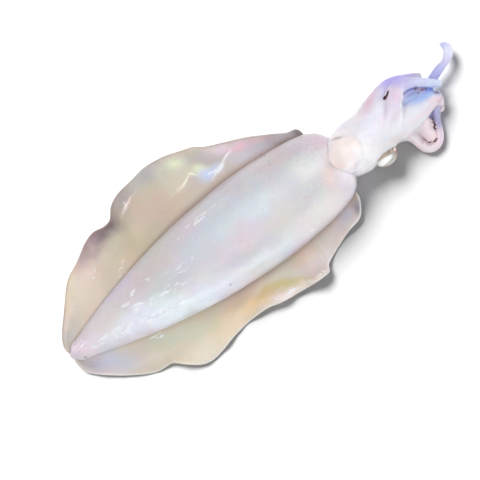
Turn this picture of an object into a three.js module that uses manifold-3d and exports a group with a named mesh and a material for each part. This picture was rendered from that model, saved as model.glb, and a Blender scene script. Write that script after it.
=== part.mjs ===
// A whole raw squid lying on its back, belly up, with its two broad fins spread flat beside the body.
// The animal is one fused solid: mantle, fins, head, funnel, eight arms and two tentacles.
// The two eyeballs are separate pieces that sit in sockets of the head.
//
// Millimetres. Shapes are drawn from the tail tip: +X runs to the arms, +Y to the head's left, +Z up.
// At the end everything moves, so that the origin is under the middle of the squid, on the table.

import * as THREE from "three";
import { LoftGeometry } from "three/addons/geometries/LoftGeometry.js";
import { mergeVertices } from "three/addons/utils/BufferGeometryUtils.js";
import Module from "manifold-3d";

const { clamp, degToRad, lerp, smoothstep } = THREE.MathUtils;

// ---- Driving dimensions ----

const MANTLE_LENGTH = 240; // tail tip to the corners of the collar
const MANTLE_HALF_WIDTH = 35.4;
const MANTLE_HEIGHT = 42;
const MANTLE_WALL = 2.6; // muscle at the collar
const WIDEST_AT = 0.42; // share of the height where the mantle and the head are widest
const FLATTENING = 1.28; // over 1, the underside is cut off flat where it rests

const COLLAR_POCKET = 9; // depth of the open groove between collar and neck
const COLLAR_CURVES_FROM = 0.84; // share of the mantle's length where its rings start to follow the collar
const FUNNEL_NOTCH = 11; // how far the collar is cut back over the funnel
const FUNNEL_NOTCH_HALF_WIDTH = 9;

const FIN_ROOT_THICKNESS = 6.4;
const FIN_EDGE_THICKNESS = 1.7;
const FIN_ROOT_HEIGHT = 5.4; // middle of the fin where it leaves the mantle
const FIN_ROOT_INSIDE = 0.42; // share of the mantle's half width where the fin's root is buried
const FIN_ROOT_FROM = 8;
const FIN_ROOT_TO = 222;

const HEAD_FROM = 222;
const HEAD_TO = 297;
const HEAD_LIFT = 0.4; // underside of the head above the table
const EYE_LENGTH = 20; // across the eyeball, along the squid
const EYE_CLEARANCE = 0.35;

const THINNEST_FACET = 0.02;
const MIDDLE_X = 174; // the middle of the squid's box, from the tail tip
const MIDDLE_Y = 7.7;

// Facet counts.
const AROUND_MANTLE = 34;
const ALONG_MANTLE = 34;
const AROUND_FIN = 10;
const ALONG_FIN = 54;
const AROUND_HEAD = 28;
const ALONG_HEAD = 16;
const AROUND_BALL = 18;
const AROUND_LIMB = 9;
const STEPS_PER_KNOT = 1.8; // along an arm

// ---- Forms read along the squid ----

// Mantle against the share of its length: half width, height of its crown, height of its underside.
const HALF_WIDTHS = [
  [0, 3], [0.016, 6.8], [0.06, 10.3], [0.175, 18.1], [0.355, 27.7], [0.53, 33.4], [0.7, MANTLE_HALF_WIDTH],
  [0.85, 33.2], [0.94, 29.2], [0.978, 24.4], [0.993, 20.2], [1, 17.4],
];
const CROWNS = [
  [0, 5.5], [0.02, 8.2], [0.06, 12], [0.175, 21.5], [0.355, 32], [0.53, 38.5], [0.7, MANTLE_HEIGHT],
  [0.85, 41], [0.94, 37.6], [0.978, 35], [1, 32],
];
const UNDERSIDES = [[0, 1.6], [0.04, 0], [0.93, 0], [1, 3]];

// Outer edge of each fin, from the tail tip round to where it meets the mantle near the collar.
const LEFT_FIN_EDGE = [
  [3, 1], [-1.4, 3.6], [-2, 8], [0.4, 14], [14.5, 30.2], [29.5, 46], [41.8, 52.3], [54.8, 59.6],
  [64.4, 62.6], [73, 61.4], [79, 62.6], [85.5, 69.4], [94.3, 73.8], [108.6, 76.4], [121.4, 78.1],
  [137.1, 76.3], [151.2, 71.7], [158.3, 69.2], [165.3, 64.4], [179.4, 58.3], [193.5, 52.2],
  [207.6, 44.1], [219, 37.2], [225.6, 35.4], [228, 31], [224, 20],
];
const RIGHT_FIN_EDGE = [
  [3, -1], [-1, -3.6], [-1.4, -8.5], [0.2, -15], [13.6, -27.7], [27.6, -38], [41.7, -45.7], [49, -46.6],
  [54.4, -47.2], [62.5, -54.2], [70.5, -60.4], [78.4, -62.7], [88, -61.6], [98.4, -58.9], [110, -56.8],
  [122, -55.8], [134, -56.2], [143, -58.6], [162.5, -61], [176, -61.8], [184.2, -61.2], [187, -57],
  [196, -52.8], [212.6, -46.5], [224.6, -43.4], [230, -38], [234, -29], [230, -18],
];

// Where each fin's edge lifts off the table: station along the squid, rise, half length of the rise.
const LEFT_RUFFLES = [[20, 3, 16], [58, 3.5, 10], [93, 7.5, 11], [126, 4, 17], [160, 7, 14], [214, 6, 16]];
const RIGHT_RUFFLES = [[14, 2.5, 15], [62, 5, 13], [98, 2, 10], [140, 6, 18], [176, 10, 13], [222, 5, 14]];

// Head, from inside the mantle to the crown of the arms: [station, half width, top, sideways offset].
const HEAD = [
  [HEAD_FROM, 12.5, 27, -1.2], [236, 15.4, 30.5, -1.4], [243, 18.2, 32.5, -1.4], [252, 19.8, 33.4, -1],
  [262, 19.3, 33, -0.2], [272, 18.2, 31, 0.8], [281, 19, 29, 2.6], [290, 16.5, 25.5, 3.4],
  [HEAD_TO, 9, 19, 3.6],
];

const FUNNEL = { at: [242.6, 0.2, 28.6], half: [13.6, 12.6, 11.4] };

// Eyelids swell round each eyeball. The head has rolled, so the right eye looks out and the left one down.
const RIGHT_LIDS = { at: [265, -10, 15.6], half: [13.8, 10.4, 11.8] };
const LEFT_LIDS = { at: [265, 8.8, 12], half: [13.8, 10.2, 11.6] };
const RIGHT_EYE = { at: [265.3, -16.2, 15.2], half: [EYE_LENGTH / 2, 9.9, 9.6], tilt: 14 };
const LEFT_EYE = { at: [265.3, 10.2, 9.8], half: [EYE_LENGTH / 2, 8.4, 9], tilt: -38 };

// Arms and tentacles, from inside the head to the tip: [along, left, height, radius] of the middle.
const LIMBS = {
  fourth_arm_left: [
    [266, 0.6, 17, 7.8], [278, 1.1, 22, 7.4], [286.5, 5.3, 24, 6.8], [292.3, 10.8, 24.5, 6],
    [298, 14.6, 24, 5.2], [304, 15, 22.5, 4.6], [312, 11.6, 20.6, 3.8], [321, 6, 18, 3], [328, 0.8, 15, 2],
  ],
  fourth_arm_right: [
    [262, -4.6, 16.4, 9], [274, -6.6, 18.4, 9.6], [284, -7.6, 19.4, 9.6], [295.7, -6.6, 19, 9],
    [305, -5.7, 17.6, 8.2], [312.9, -5.1, 15.4, 6.9], [319.5, -5.4, 13, 5.2], [323.8, -5.8, 11.4, 3],
  ],
  third_arm_left: [
    [266, 9.6, 14, 8.8], [275, 14, 15.4, 7.8], [282, 17.4, 16.4, 6.2], [289, 20.2, 17, 4.6],
    [296, 20.9, 17.2, 4.3], [302.5, 19.2, 17, 4.2], [313, 14.8, 16, 3.4], [319.8, 11.8, 15.2, 2.6],
  ],
  third_arm_right: [
    [270, -8, 11, 7.2], [280, -11.4, 9.6, 5.9], [287.8, -15.4, 8, 5.1], [291, -21.4, 6, 4.4],
    [292, -27, 5, 4.1], [293.8, -31.4, 4.6, 3.9], [298, -33.6, 4.6, 3.9], [303.4, -32, 5, 3.8],
    [307.4, -27.2, 6, 3.4], [309.8, -22, 7.2, 2.9], [312.2, -16.6, 8.8, 2.6], [314.6, -11, 9.8, 2],
  ],
  second_arm_left: [
    [268, 6, 12, 7], [284, 6.4, 13.6, 6.4], [298, 7.4, 14.4, 5.4], [309, 6, 13.4, 4.4],
    [317, 3, 12.2, 3.2], [322, 0.4, 11.4, 1.8],
  ],
  second_arm_right: [
    [276, -6, 9, 7.6], [286, -8.4, 9.4, 7.8], [295.4, -11.6, 9.8, 7.5], [301, -16.6, 9.8, 6.5],
    [301.6, -21.4, 9.2, 5.7], [300.9, -25, 8.4, 4.6], [300.4, -27.6, 7.8, 2.6],
  ],
  first_arm_left: [
    [268, 3, 7.4, 7], [288, 5, 7, 6], [306, 2.6, 7.4, 4.6], [318, 3, 9.6, 3.8], [327, 6.4, 11, 3.3],
    [333, 8.5, 11.4, 3], [340, 10.4, 11, 2.7], [345, 13.6, 10.2, 3.3], [347.2, 17.6, 9.4, 3.4],
    [346.2, 20.9, 8.8, 2.2], [344.3, 23, 8.4, 0.7],
  ],
  first_arm_right: [
    [268, -2, 7, 6.8], [286, -4, 6.4, 6], [300, -7.6, 5.6, 5.2], [311, -11.6, 4.8, 4.2],
    [319, -11, 3.8, 2.4], [322.6, -8.6, 3, 1.2],
  ],
  left_tentacle: [
    [266, 8, 8, 7], [284, 13.6, 6.8, 6.2], [298, 14.4, 5.4, 5], [310, 11.4, 4.4, 3.6], [320.4, 8, 3.6, 1.7],
  ],
  right_tentacle: [
    [268, -6, 6, 5.8], [284, -10, 5.4, 5.2], [296, -17, 4.6, 4.4], [303, -23, 4.2, 4],
    [308.6, -20.6, 4.2, 3.8], [313.6, -14.8, 5.2, 3.8], [318.8, -10.4, 7, 3.4], [321, -6.6, 9, 2.4],
  ],
};

// ---- Curves ----

// A smooth curve through knots [at, value, ...] that never overshoots them (monotone cubic).
function through(knots, at, column = 1) {
  const last = knots.length - 1;
  if (at <= knots[0][0]) return knots[0][column];
  if (at >= knots[last][0]) return knots[last][column];
  const i = knots.findIndex((knot) => knot[0] > at) - 1;
  const slope = (k) => (knots[k + 1][column] - knots[k][column]) / (knots[k + 1][0] - knots[k][0]);
  const tangent = (k) => {
    if (k === 0) return slope(0);
    if (k === last) return slope(last - 1);
    const before = slope(k - 1);
    const after = slope(k);
    return before * after <= 0 ? 0 : (2 * before * after) / (before + after);
  };
  const span = knots[i + 1][0] - knots[i][0];
  const s = (at - knots[i][0]) / span;
  const from = (1 + 2 * s) * (1 - s) ** 2 * knots[i][column] + s * (1 - s) ** 2 * span * tangent(i);
  const to = s * s * (3 - 2 * s) * knots[i + 1][column] + s * s * (s - 1) * span * tangent(i + 1);
  return from + to;
}

const bell = (distance, width) => Math.exp(-((distance / width) ** 2));

function curveThrough(points) {
  const knots = points.map(([x, y, z = 0]) => new THREE.Vector3(x, y, z));
  return new THREE.CatmullRomCurve3(knots, false, "centripetal");
}

// A ring of points, counterclockwise as seen from the end of the loft.
function ring(count, place) {
  return Array.from({ length: count }, (_, i) => place((i / count) * 2 * Math.PI));
}

// ---- Solids ----

const wasm = await Module();
wasm.setup();

// A closed geometry as a solid that can be joined and cut.
function solid(geometry) {
  const bare = new THREE.BufferGeometry();
  bare.setAttribute("position", geometry.attributes.position);
  bare.setIndex(geometry.index);
  const merged = mergeVertices(bare, 1e-3);
  const index = merged.index.array;
  const corners = [];
  for (let i = 0; i < index.length; i += 3) {
    const [a, b, c] = index.subarray(i, i + 3);
    if (a !== b && b !== c && c !== a) corners.push(a, b, c);
  }
  const vertProperties = merged.attributes.position.array;
  return new wasm.Manifold(new wasm.Mesh({ numProp: 3, vertProperties, triVerts: new Uint32Array(corners) }));
}

// A skin through rings of points, closed at both ends by a fan of facets to the middle of the ring.
function loft(sections) {
  const middle = (section) => {
    const sum = section.reduce((total, point) => total.add(point), new THREE.Vector3());
    return Array(section.length).fill(sum.divideScalar(section.length));
  };
  return solid(new LoftGeometry([middle(sections[0]), ...sections, middle(sections.at(-1))]));
}

// The corners that each corner shares a facet with.
function neighbours(facets) {
  const around = new Map();
  for (const facet of facets) {
    for (const i of facet) {
      if (!around.has(i)) around.set(i, new Set());
      facet.forEach((j) => j !== i && around.get(i).add(j));
    }
  }
  return around;
}

// Joining leaves slivers where two skins cross. Each facet thinner than THINNEST_FACET is closed up
// along its shortest edge, wherever that keeps the skin closed, until none is left.
function closeSlivers(points, facets) {
  const corner = (i) => new THREE.Vector3().fromArray(points, 3 * i);
  const around = neighbours(facets);
  const moved = new Map();
  const settled = new Set(); // corners near one that has already moved
  for (const facet of facets) {
    const edges = facet.map((i, k) => [i, facet[(k + 1) % 3]]);
    const lengths = edges.map(([i, j]) => corner(i).distanceTo(corner(j)));
    const area = new THREE.Triangle(...facet.map(corner)).getArea();
    if ((2 * area) / Math.max(...lengths) >= THINNEST_FACET) continue;
    const [keep, drop] = edges[lengths.indexOf(Math.min(...lengths))];
    const shared = [...around.get(keep)].filter((i) => around.get(drop).has(i));
    const nearby = [keep, drop, ...around.get(keep), ...around.get(drop)];
    if (shared.length !== 2 || nearby.some((i) => settled.has(i))) continue;
    moved.set(drop, keep);
    nearby.forEach((i) => settled.add(i));
  }
  if (moved.size === 0) return facets;
  const closed = facets.map((facet) => facet.map((i) => moved.get(i) ?? i));
  return closeSlivers(points, closed.filter(([a, b, c]) => a !== b && b !== c && c !== a));
}

// The geometry of a finished solid.
function geometryOf(shape) {
  const { vertProperties, triVerts } = shape.getMesh();
  const count = triVerts.length / 3;
  const facets = Array.from({ length: count }, (_, i) => Array.from(triVerts.slice(3 * i, 3 * i + 3)));
  const geometry = new THREE.BufferGeometry();
  geometry.setAttribute("position", new THREE.BufferAttribute(vertProperties, 3));
  geometry.setIndex(closeSlivers(vertProperties, facets).flat());
  geometry.computeVertexNormals();
  return geometry;
}

// An ellipsoid, turned about the squid's length by tilt degrees and grown by an extra margin.
function ellipsoid({ at, half, tilt = 0 }, margin = 0) {
  const geometry = new THREE.SphereGeometry(1, AROUND_BALL, Math.round(AROUND_BALL * 0.6));
  geometry.scale(half[0] + margin, half[1] + margin, half[2] + margin);
  geometry.rotateX(degToRad(-tilt));
  geometry.translate(...at);
  return solid(geometry);
}

// ---- Mantle ----

// A point of a cross-section: flat underneath, round on top, widest below the middle.
function sectionPoint(angle, halfWidth, crown, underside) {
  const waist = underside + (crown - underside) * WIDEST_AT;
  const up = Math.sin(angle);
  const below = Math.max(underside, waist + (waist - underside) * FLATTENING * up);
  return [halfWidth * Math.cos(angle), up >= 0 ? waist + (crown - waist) * up : below];
}

// A ring of the mantle at a share of its length, drawn in by inset and moved back from the collar.
function mantleRing(share, inset = 0, back = 0) {
  const halfWidth = through(HALF_WIDTHS, share) - inset;
  const crown = through(CROWNS, share) - inset;
  const underside = through(UNDERSIDES, share) + inset;
  const notch = FUNNEL_NOTCH * smoothstep(share, COLLAR_CURVES_FROM, 1);
  return ring(AROUND_MANTLE, (angle) => {
    const [y, z] = sectionPoint(angle, halfWidth, crown, underside);
    const cutBack = Math.sin(angle) > 0 ? notch * bell(y, FUNNEL_NOTCH_HALF_WIDTH) : 0;
    return new THREE.Vector3(share * MANTLE_LENGTH - back - cutBack, y, z);
  });
}

// Rings crowd towards the tail and the collar, where the form turns fastest. The last three turn
// over the collar's lip and run back into the pocket behind it.
function mantle() {
  const turns = Array.from({ length: ALONG_MANTLE + 1 }, (_, i) => (i / ALONG_MANTLE) * Math.PI);
  return loft([
    ...turns.map((turn) => mantleRing((1 - Math.cos(turn)) / 2)),
    mantleRing(1, MANTLE_WALL * 0.6, -0.5),
    mantleRing(1, MANTLE_WALL, 1),
    mantleRing(1, MANTLE_WALL, COLLAR_POCKET),
  ]);
}

// ---- Fins ----

// Height of a fin's upper or lower face: side is -1 to 1 from the lower to the upper face, out is 0 at
// the root and 1 at the rim, and fullness thins the fin towards both of its ends.
function finHeight(side, out, lift, fullness) {
  const thickness = fullness * lerp(FIN_ROOT_THICKNESS, FIN_EDGE_THICKNESS, out ** 0.7);
  const sunk = lerp(FIN_ROOT_HEIGHT, FIN_EDGE_THICKNESS / 2, smoothstep(out, 0.15, 0.75));
  const bulge = Math.sign(side) * Math.min(1, 2.1 * Math.abs(side));
  return Math.max(0, sunk + lift * out ** 2.4 + (thickness / 2) * bulge);
}

function fin(edgeKnots, ruffles, side) {
  const edge = curveThrough(edgeKnots);
  const sections = Array.from({ length: ALONG_FIN + 1 }, (_, i) => {
    const share = i / ALONG_FIN;
    const rim = edge.getPoint(share);
    const rootX = clamp(rim.x, FIN_ROOT_FROM, FIN_ROOT_TO);
    const rootY = side * FIN_ROOT_INSIDE * through(HALF_WIDTHS, rootX / MANTLE_LENGTH);
    const lift = ruffles.reduce((sum, [at, rise, half]) => sum + rise * bell(rim.x - at, half), 0);
    const fullness = lerp(0.35, 1, Math.sqrt(Math.sin(Math.PI * clamp(share, 0.03, 0.97))));
    const section = ring(AROUND_FIN, (angle) => {
      const out = (1 + Math.cos(angle)) / 2;
      const z = finHeight(Math.sin(angle), out, lift, fullness);
      return new THREE.Vector3(lerp(rootX, rim.x, out), lerp(rootY, rim.y, out), z);
    });
    return side > 0 ? section : section.reverse();
  });
  return loft(sections);
}

// ---- Head and limbs ----

function head() {
  const sections = Array.from({ length: ALONG_HEAD + 1 }, (_, i) => {
    const x = lerp(HEAD_FROM, HEAD_TO, i / ALONG_HEAD);
    const [halfWidth, crown, offset] = [1, 2, 3].map((column) => through(HEAD, x, column));
    // Both ends of the head draw up from the table.
    const underside = HEAD_LIFT + 6 * bell(x - HEAD_FROM, 12) + 6 * bell(x - HEAD_TO, 9);
    return ring(AROUND_HEAD, (angle) => {
      const [y, z] = sectionPoint(angle, halfWidth, crown, underside);
      return new THREE.Vector3(x, offset + y, z);
    });
  });
  return loft(sections);
}

function limb(route) {
  const middle = curveThrough(route);
  const radii = route.map((knot, i) => [i, knot[3]]);
  const steps = Math.round(STEPS_PER_KNOT * (route.length - 1));
  const sections = Array.from({ length: steps + 1 }, (_, i) => {
    const centre = middle.getPoint(i / steps);
    const ahead = middle.getTangent(i / steps);
    const left = new THREE.Vector3(0, 0, 1).cross(ahead).normalize();
    const up = ahead.clone().cross(left);
    const radius = through(radii, (i / steps) * (route.length - 1));
    return ring(AROUND_LIMB, (angle) => {
      const point = centre.clone().addScaledVector(left, Math.cos(angle) * radius);
      point.addScaledVector(up, Math.sin(angle) * radius);
      return point.setZ(Math.max(0, point.z)); // pressed flat where it meets the table
    });
  });
  return loft(sections);
}

// ---- The whole animal ----

const flesh = new THREE.MeshStandardMaterial({ color: 0xe2dadb, roughness: 0.28, metalness: 0 });
const eyeSkin = new THREE.MeshStandardMaterial({ color: 0xb98e5e, roughness: 0.12, metalness: 0.1 });

function named(name, shape, material) {
  const mesh = new THREE.Mesh(geometryOf(shape), material);
  mesh.name = name;
  return mesh;
}

function body() {
  const pieces = [
    mantle(),
    fin(LEFT_FIN_EDGE, LEFT_RUFFLES, 1),
    fin(RIGHT_FIN_EDGE, RIGHT_RUFFLES, -1),
    head(),
    ...[FUNNEL, RIGHT_LIDS, LEFT_LIDS].map((ball) => ellipsoid(ball)),
    ...Object.values(LIMBS).map(limb),
  ];
  const joined = pieces.reduce((whole, piece) => whole.add(piece));
  const sockets = [RIGHT_EYE, LEFT_EYE].map((eye) => ellipsoid(eye, EYE_CLEARANCE));
  return sockets.reduce((whole, socket) => whole.subtract(socket), joined);
}

const squid = new THREE.Group();
squid.add(named("squid_body", body(), flesh));
squid.add(named("right_eye", ellipsoid(RIGHT_EYE), eyeSkin));
squid.add(named("left_eye", ellipsoid(LEFT_EYE), eyeSkin));
squid.position.set(-MIDDLE_X, -MIDDLE_Y, 0);

export default squid;
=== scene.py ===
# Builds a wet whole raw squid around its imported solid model. It lies belly up on a pale floor, with its
# two broad fins spread flat beside the mantle and its arms gathered in a curled bunch.
#
# Forms are given in millimetres from the tail tip: +x to the arms, +y to the head's left, +z up. spot()
# turns them into the model's own frame, in metres, whose origin is under the middle of the squid.

import math
from functools import lru_cache

import bmesh
import bpy
import numpy as np
from bpy.props import FloatProperty, FloatVectorProperty, IntProperty, PointerProperty
from mathutils import Matrix, Vector, noise
from mathutils.bvhtree import BVHTree


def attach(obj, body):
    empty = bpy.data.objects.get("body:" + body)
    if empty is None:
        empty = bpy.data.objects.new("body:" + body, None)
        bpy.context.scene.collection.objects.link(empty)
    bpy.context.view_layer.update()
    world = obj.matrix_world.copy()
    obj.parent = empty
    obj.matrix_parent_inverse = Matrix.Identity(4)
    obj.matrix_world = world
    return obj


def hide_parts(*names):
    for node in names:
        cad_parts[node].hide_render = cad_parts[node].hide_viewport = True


bl_info = {
    "name": "Whole Raw Squid",
    "version": (1, 0, 0),
    "blender": (4, 5, 0),
    "location": "3D View > Sidebar > Squid",
    "description": "Builds a wet whole squid lying on its back, with its fins spread flat",
    "category": "Add Mesh",
}

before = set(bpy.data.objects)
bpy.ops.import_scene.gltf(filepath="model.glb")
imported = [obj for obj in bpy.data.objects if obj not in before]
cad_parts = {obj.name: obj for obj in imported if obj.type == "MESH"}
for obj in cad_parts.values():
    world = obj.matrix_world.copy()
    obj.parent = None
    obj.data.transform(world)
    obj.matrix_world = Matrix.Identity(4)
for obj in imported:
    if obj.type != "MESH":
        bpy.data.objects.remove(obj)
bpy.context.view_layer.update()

MM = 0.001
MIDDLE_X = 174.0
MIDDLE_Y = 7.7

# ---- Forms shared with the solid model ----

MANTLE_LENGTH = 240
MANTLE_HALF_WIDTH = 35.4
MANTLE_HEIGHT = 42
MANTLE_WALL = 2.6
WIDEST_AT = 0.42
FLATTENING = 1.28
COLLAR_POCKET = 9
COLLAR_CURVES_FROM = 0.84
FUNNEL_NOTCH = 11
FUNNEL_NOTCH_HALF_WIDTH = 9

FIN_ROOT_THICKNESS = 6.4
FIN_EDGE_THICKNESS = 1.7
FIN_ROOT_HEIGHT = 5.4
FIN_ROOT_INSIDE = 0.42
FIN_ROOT_FROM = 8
FIN_ROOT_TO = 222

HEAD_FROM = 222
HEAD_TO = 297
HEAD_LIFT = 0.4
EYE_LENGTH = 20
EYE_CLEARANCE = 0.35

# Half width, crown and underside of the mantle: [share of its length, millimetres].
HALF_WIDTHS = [
    [0, 3], [0.016, 6.8], [0.06, 10.3], [0.175, 18.1], [0.355, 27.7], [0.53, 33.4], [0.7, MANTLE_HALF_WIDTH],
    [0.85, 33.2], [0.94, 29.2], [0.978, 24.4], [0.993, 20.2], [1, 17.4],
]  # fmt: skip
CROWNS = [
    [0, 5.5], [0.02, 8.2], [0.06, 12], [0.175, 21.5], [0.355, 32], [0.53, 38.5], [0.7, MANTLE_HEIGHT],
    [0.85, 41], [0.94, 37.6], [0.978, 35], [1, 32],
]  # fmt: skip
UNDERSIDES = [[0, 1.6], [0.04, 0], [0.93, 0], [1, 3]]

# The rims of the fins from the tail tip round to the collar: [along, across].
LEFT_FIN_EDGE = [
    [3, 1], [-1.4, 3.6], [-2, 8], [0.4, 14], [14.5, 30.2], [29.5, 46], [41.8, 52.3], [54.8, 59.6],
    [64.4, 62.6], [73, 61.4], [79, 62.6], [85.5, 69.4], [94.3, 73.8], [108.6, 76.4], [121.4, 78.1],
    [137.1, 76.3], [151.2, 71.7], [158.3, 69.2], [165.3, 64.4], [179.4, 58.3], [193.5, 52.2],
    [207.6, 44.1], [219, 37.2], [225.6, 35.4], [228, 31], [224, 20],
]  # fmt: skip
RIGHT_FIN_EDGE = [
    [3, -1], [-1, -3.6], [-1.4, -8.5], [0.2, -15], [13.6, -27.7], [27.6, -38], [41.7, -45.7], [49, -46.6],
    [54.4, -47.2], [62.5, -54.2], [70.5, -60.4], [78.4, -62.7], [88, -61.6], [98.4, -58.9], [110, -56.8],
    [122, -55.8], [134, -56.2], [143, -58.6], [162.5, -61], [176, -61.8], [184.2, -61.2], [187, -57],
    [196, -52.8], [212.6, -46.5], [224.6, -43.4], [230, -38], [234, -29], [230, -18],
]  # fmt: skip
# Where each rim stands up in a ruffle: [along, rise, reach].
LEFT_RUFFLES = [[20, 3, 16], [58, 3.5, 10], [93, 7.5, 11], [126, 4, 17], [160, 7, 14], [214, 6, 16]]
RIGHT_RUFFLES = [[14, 2.5, 15], [62, 5, 13], [98, 2, 10], [140, 6, 18], [176, 10, 13], [222, 5, 14]]

# Stations of the head: [along, half width, crown, offset to the left].
HEAD = [
    [HEAD_FROM, 12.5, 27, -1.2], [236, 15.4, 30.5, -1.4], [243, 18.2, 32.5, -1.4], [252, 19.8, 33.4, -1],
    [262, 19.3, 33, -0.2], [272, 18.2, 31, 0.8], [281, 19, 29, 2.6], [290, 16.5, 25.5, 3.4],
    [HEAD_TO, 9, 19, 3.6],
]  # fmt: skip
FUNNEL_MIDDLE = (242.6, 0.2)

# The head's underside is drawn up at its two ends, over these lengths.
HEAD_DRAWN_UP = 6
NECK_DRAWN_OVER = 12
CROWN_DRAWN_OVER = 9

# The rounded lids, and the eyeballs in them, turned by their tilt in degrees.
RIGHT_LIDS = {"at": (265, -10.8, 15.6), "half": (13.8, 10.4, 11.8)}
LEFT_LIDS = {"at": (265, 8.8, 12), "half": (13.8, 10.2, 11.6)}
RIGHT_EYE = {"at": (265.3, -16.2, 15.2), "half": (EYE_LENGTH / 2, 9.9, 9.6), "tilt": 14}
LEFT_EYE = {"at": (265.3, 10.2, 9.8), "half": (EYE_LENGTH / 2, 8.4, 9), "tilt": -38}

# Knots of each arm and tentacle from its root to its tip: [along, across, up, radius].
LIMBS = {
    "fourth_arm_left": [
        [266, 0.6, 17, 7.8], [278, 1.1, 22, 7.4], [286.5, 5.3, 24, 6.8], [292.3, 10.8, 24.5, 6],
        [298, 14.6, 23.4, 5.2], [304, 14.8, 21.8, 4.4], [312, 11.6, 20.4, 3.3], [321, 4.8, 18, 3],
        [328.4, -1, 15, 2.2],
    ],
    "fourth_arm_right": [
        [262, -4.6, 16.4, 9], [274, -6.6, 18.4, 9.6], [284, -7.6, 19.4, 9.6], [295.7, -6.6, 19, 9],
        [305, -5.7, 17.6, 8.2], [312.9, -5.1, 15.4, 6.9], [319.5, -5.4, 13, 5.2], [323.8, -5.8, 11.4, 3],
    ],
    "third_arm_left": [
        [266, 9.6, 14, 8.8], [275, 14, 15.8, 7.8], [282, 17.4, 17.4, 6.2], [289, 20.2, 18.4, 4.6],
        [296, 20.9, 18.8, 4.3], [302.5, 19.2, 18.4, 4.2], [313, 14.8, 16.6, 3.4], [319.8, 11.8, 15.2, 2.6],
    ],
    "third_arm_right": [
        [270, -8, 11, 7.2], [280, -11.4, 9.6, 5.9], [287.8, -15.4, 8, 5.1], [291, -21.4, 6, 4.4],
        [292, -27, 5, 4.1], [293.8, -31.4, 4.6, 3.9], [298, -33.6, 4.6, 3.9], [303.4, -32, 5, 3.8],
        [307.4, -27.2, 6, 3.4], [309.8, -22, 7.2, 2.9], [312.2, -16.6, 8.8, 2.6], [314.6, -11, 9.8, 2],
    ],
    "second_arm_left": [
        [268, 6, 12, 7], [284, 6.4, 13.6, 6.4], [298, 7.4, 14.4, 5.4], [309, 6, 13.4, 4.4],
        [317, 3, 12.2, 3.2], [322, 0.4, 11.4, 1.8],
    ],
    "second_arm_right": [
        [276, -6, 9, 7.6], [286, -8.4, 9.4, 7.8], [295.4, -11.6, 9.8, 7.3], [301.4, -16.4, 9.6, 6.3],
        [300.3, -20.8, 9, 5.2], [300.1, -24.4, 8.6, 5], [300.2, -27, 8.2, 4.7], [300.5, -29.6, 7.6, 3.4],
    ],
    "first_arm_left": [
        [268, 3, 7.4, 7], [288, 5, 7, 6], [306, 2.6, 7.4, 4.6], [318, 3, 9.6, 3.8], [327, 6.4, 11, 3.3],
        [333, 8.5, 11.4, 3], [340, 10.4, 11, 2.7], [345, 13.6, 10.2, 3.3], [347.2, 17.6, 9.4, 3.4],
        [346.2, 20.9, 8.8, 2.2], [344.3, 23, 8.4, 0.7],
    ],
    "first_arm_right": [
        [268, -2, 7, 6.8], [286, -4, 6.4, 6], [300, -7.6, 5.6, 5.2], [311, -11.6, 4.8, 4.2],
        [319, -11, 3.8, 2.4], [322.6, -8.6, 3, 1.2],
    ],
    "left_tentacle": [
        [266, 8, 8, 7], [284, 13.6, 6.8, 6.2], [298, 14.4, 5.4, 5], [310, 11.4, 4.4, 3.6],
        [320.4, 8, 3.6, 1.7],
    ],
    "right_tentacle": [
        [268, -6, 6, 5.8], [284, -10, 5.4, 5.2], [296, -17, 4.6, 4.4], [303, -23, 4.2, 4],
        [308.6, -20.6, 4.2, 3.8], [313.6, -14.8, 5.2, 3.8], [318.8, -10.4, 7, 3.4], [321, -6.6, 9, 2.4],
    ],
}  # fmt: skip

# ---- Finer forms of the skin ----

# The camera looks straight down at VIEW_MIDDLE, turned by VIEW_TURN degrees; LENS and SENSOR are in mm.
VIEW_MIDDLE = (146.1, -4.8, 18)
VIEW_TURN = 36.56
LENS = 150.0
SENSOR = 36.0

# The studio lights, seen from the camera: [(across, above, up), (long, wide) in metres, colour].
WINDOWS = {
    "softbox": [(-0.1, 0.1, 1.4), (1.8, 1.6), (1, 0.995, 0.99)],
    "window": [(0.33, -0.87, 0.38), (0.4, 0.16), (0.92, 0.96, 1)],
    "near_window": [(0.2, -0.9, 0.7), (1.4, 0.5), (0.98, 0.99, 1)],
    "far_window": [(-0.8, 0.8, 0.5), (1.2, 0.5), (1, 0.98, 0.96)],
    "side_window": [(0.95, 0.6, 0.5), (1.0, 0.5), (1, 0.98, 0.98)],
}
SUN_RAYS = (0.62, -0.62, -0.88)
SUN_ANGLE = 28

# Share of the mantle skin's length where each part of it ends.
TAIL_CAP_ENDS = 0.03
LIP_STARTS = 0.9
LIP_ENDS = 0.95
TAIL_ROUNDING = 1.8
LIP_ROUNDING = 0.5

# The tail tip is gathered into folds: their number all round, and their middle and reach along the mantle.
TAIL_FOLDS_ROUND = 15
TAIL_FOLDS_AT = 6
TAIL_FOLDS_REACH = 9

# A low ridge runs along the mantle, at an angle round it in radians. It comes in and goes out over these
# lengths. The collar's lip is wavy, by this much and in waves of this size.
RIDGE_RISE = 0.9
RIDGE_ANGLE = 2.05
RIDGE_WIDTH = 0.16
RIDGE_IN = (22, 45)
RIDGE_OUT = (95, 135)
LIP_WAVE = 0.5
LIP_WAVE_SIZE = 11

# Depth of the painted shade in the crease where each fin leaves the mantle, how wide it is, and depth of the
# painted shade on the mantle's hem beside it: [value nearer the tail, value nearer the collar, from x, to x].
LEFT_CREASE_SHADE = (0.65, 0.9, 30, 110)
RIGHT_CREASE_SHADE = (0.15, 0.8, 90, 135)
CREASE_SHADE_WIDTH = (1.1, 2.8, 60, 120)
LEFT_HEM_SHADE = (0, 0.6, 85, 130)
RIGHT_HEM_SHADE = (0, 0.5, 120, 160)
HEM_SHADE_WIDTH = 2.2
HEM_SHADE_STOPS = (222, 234)

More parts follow.
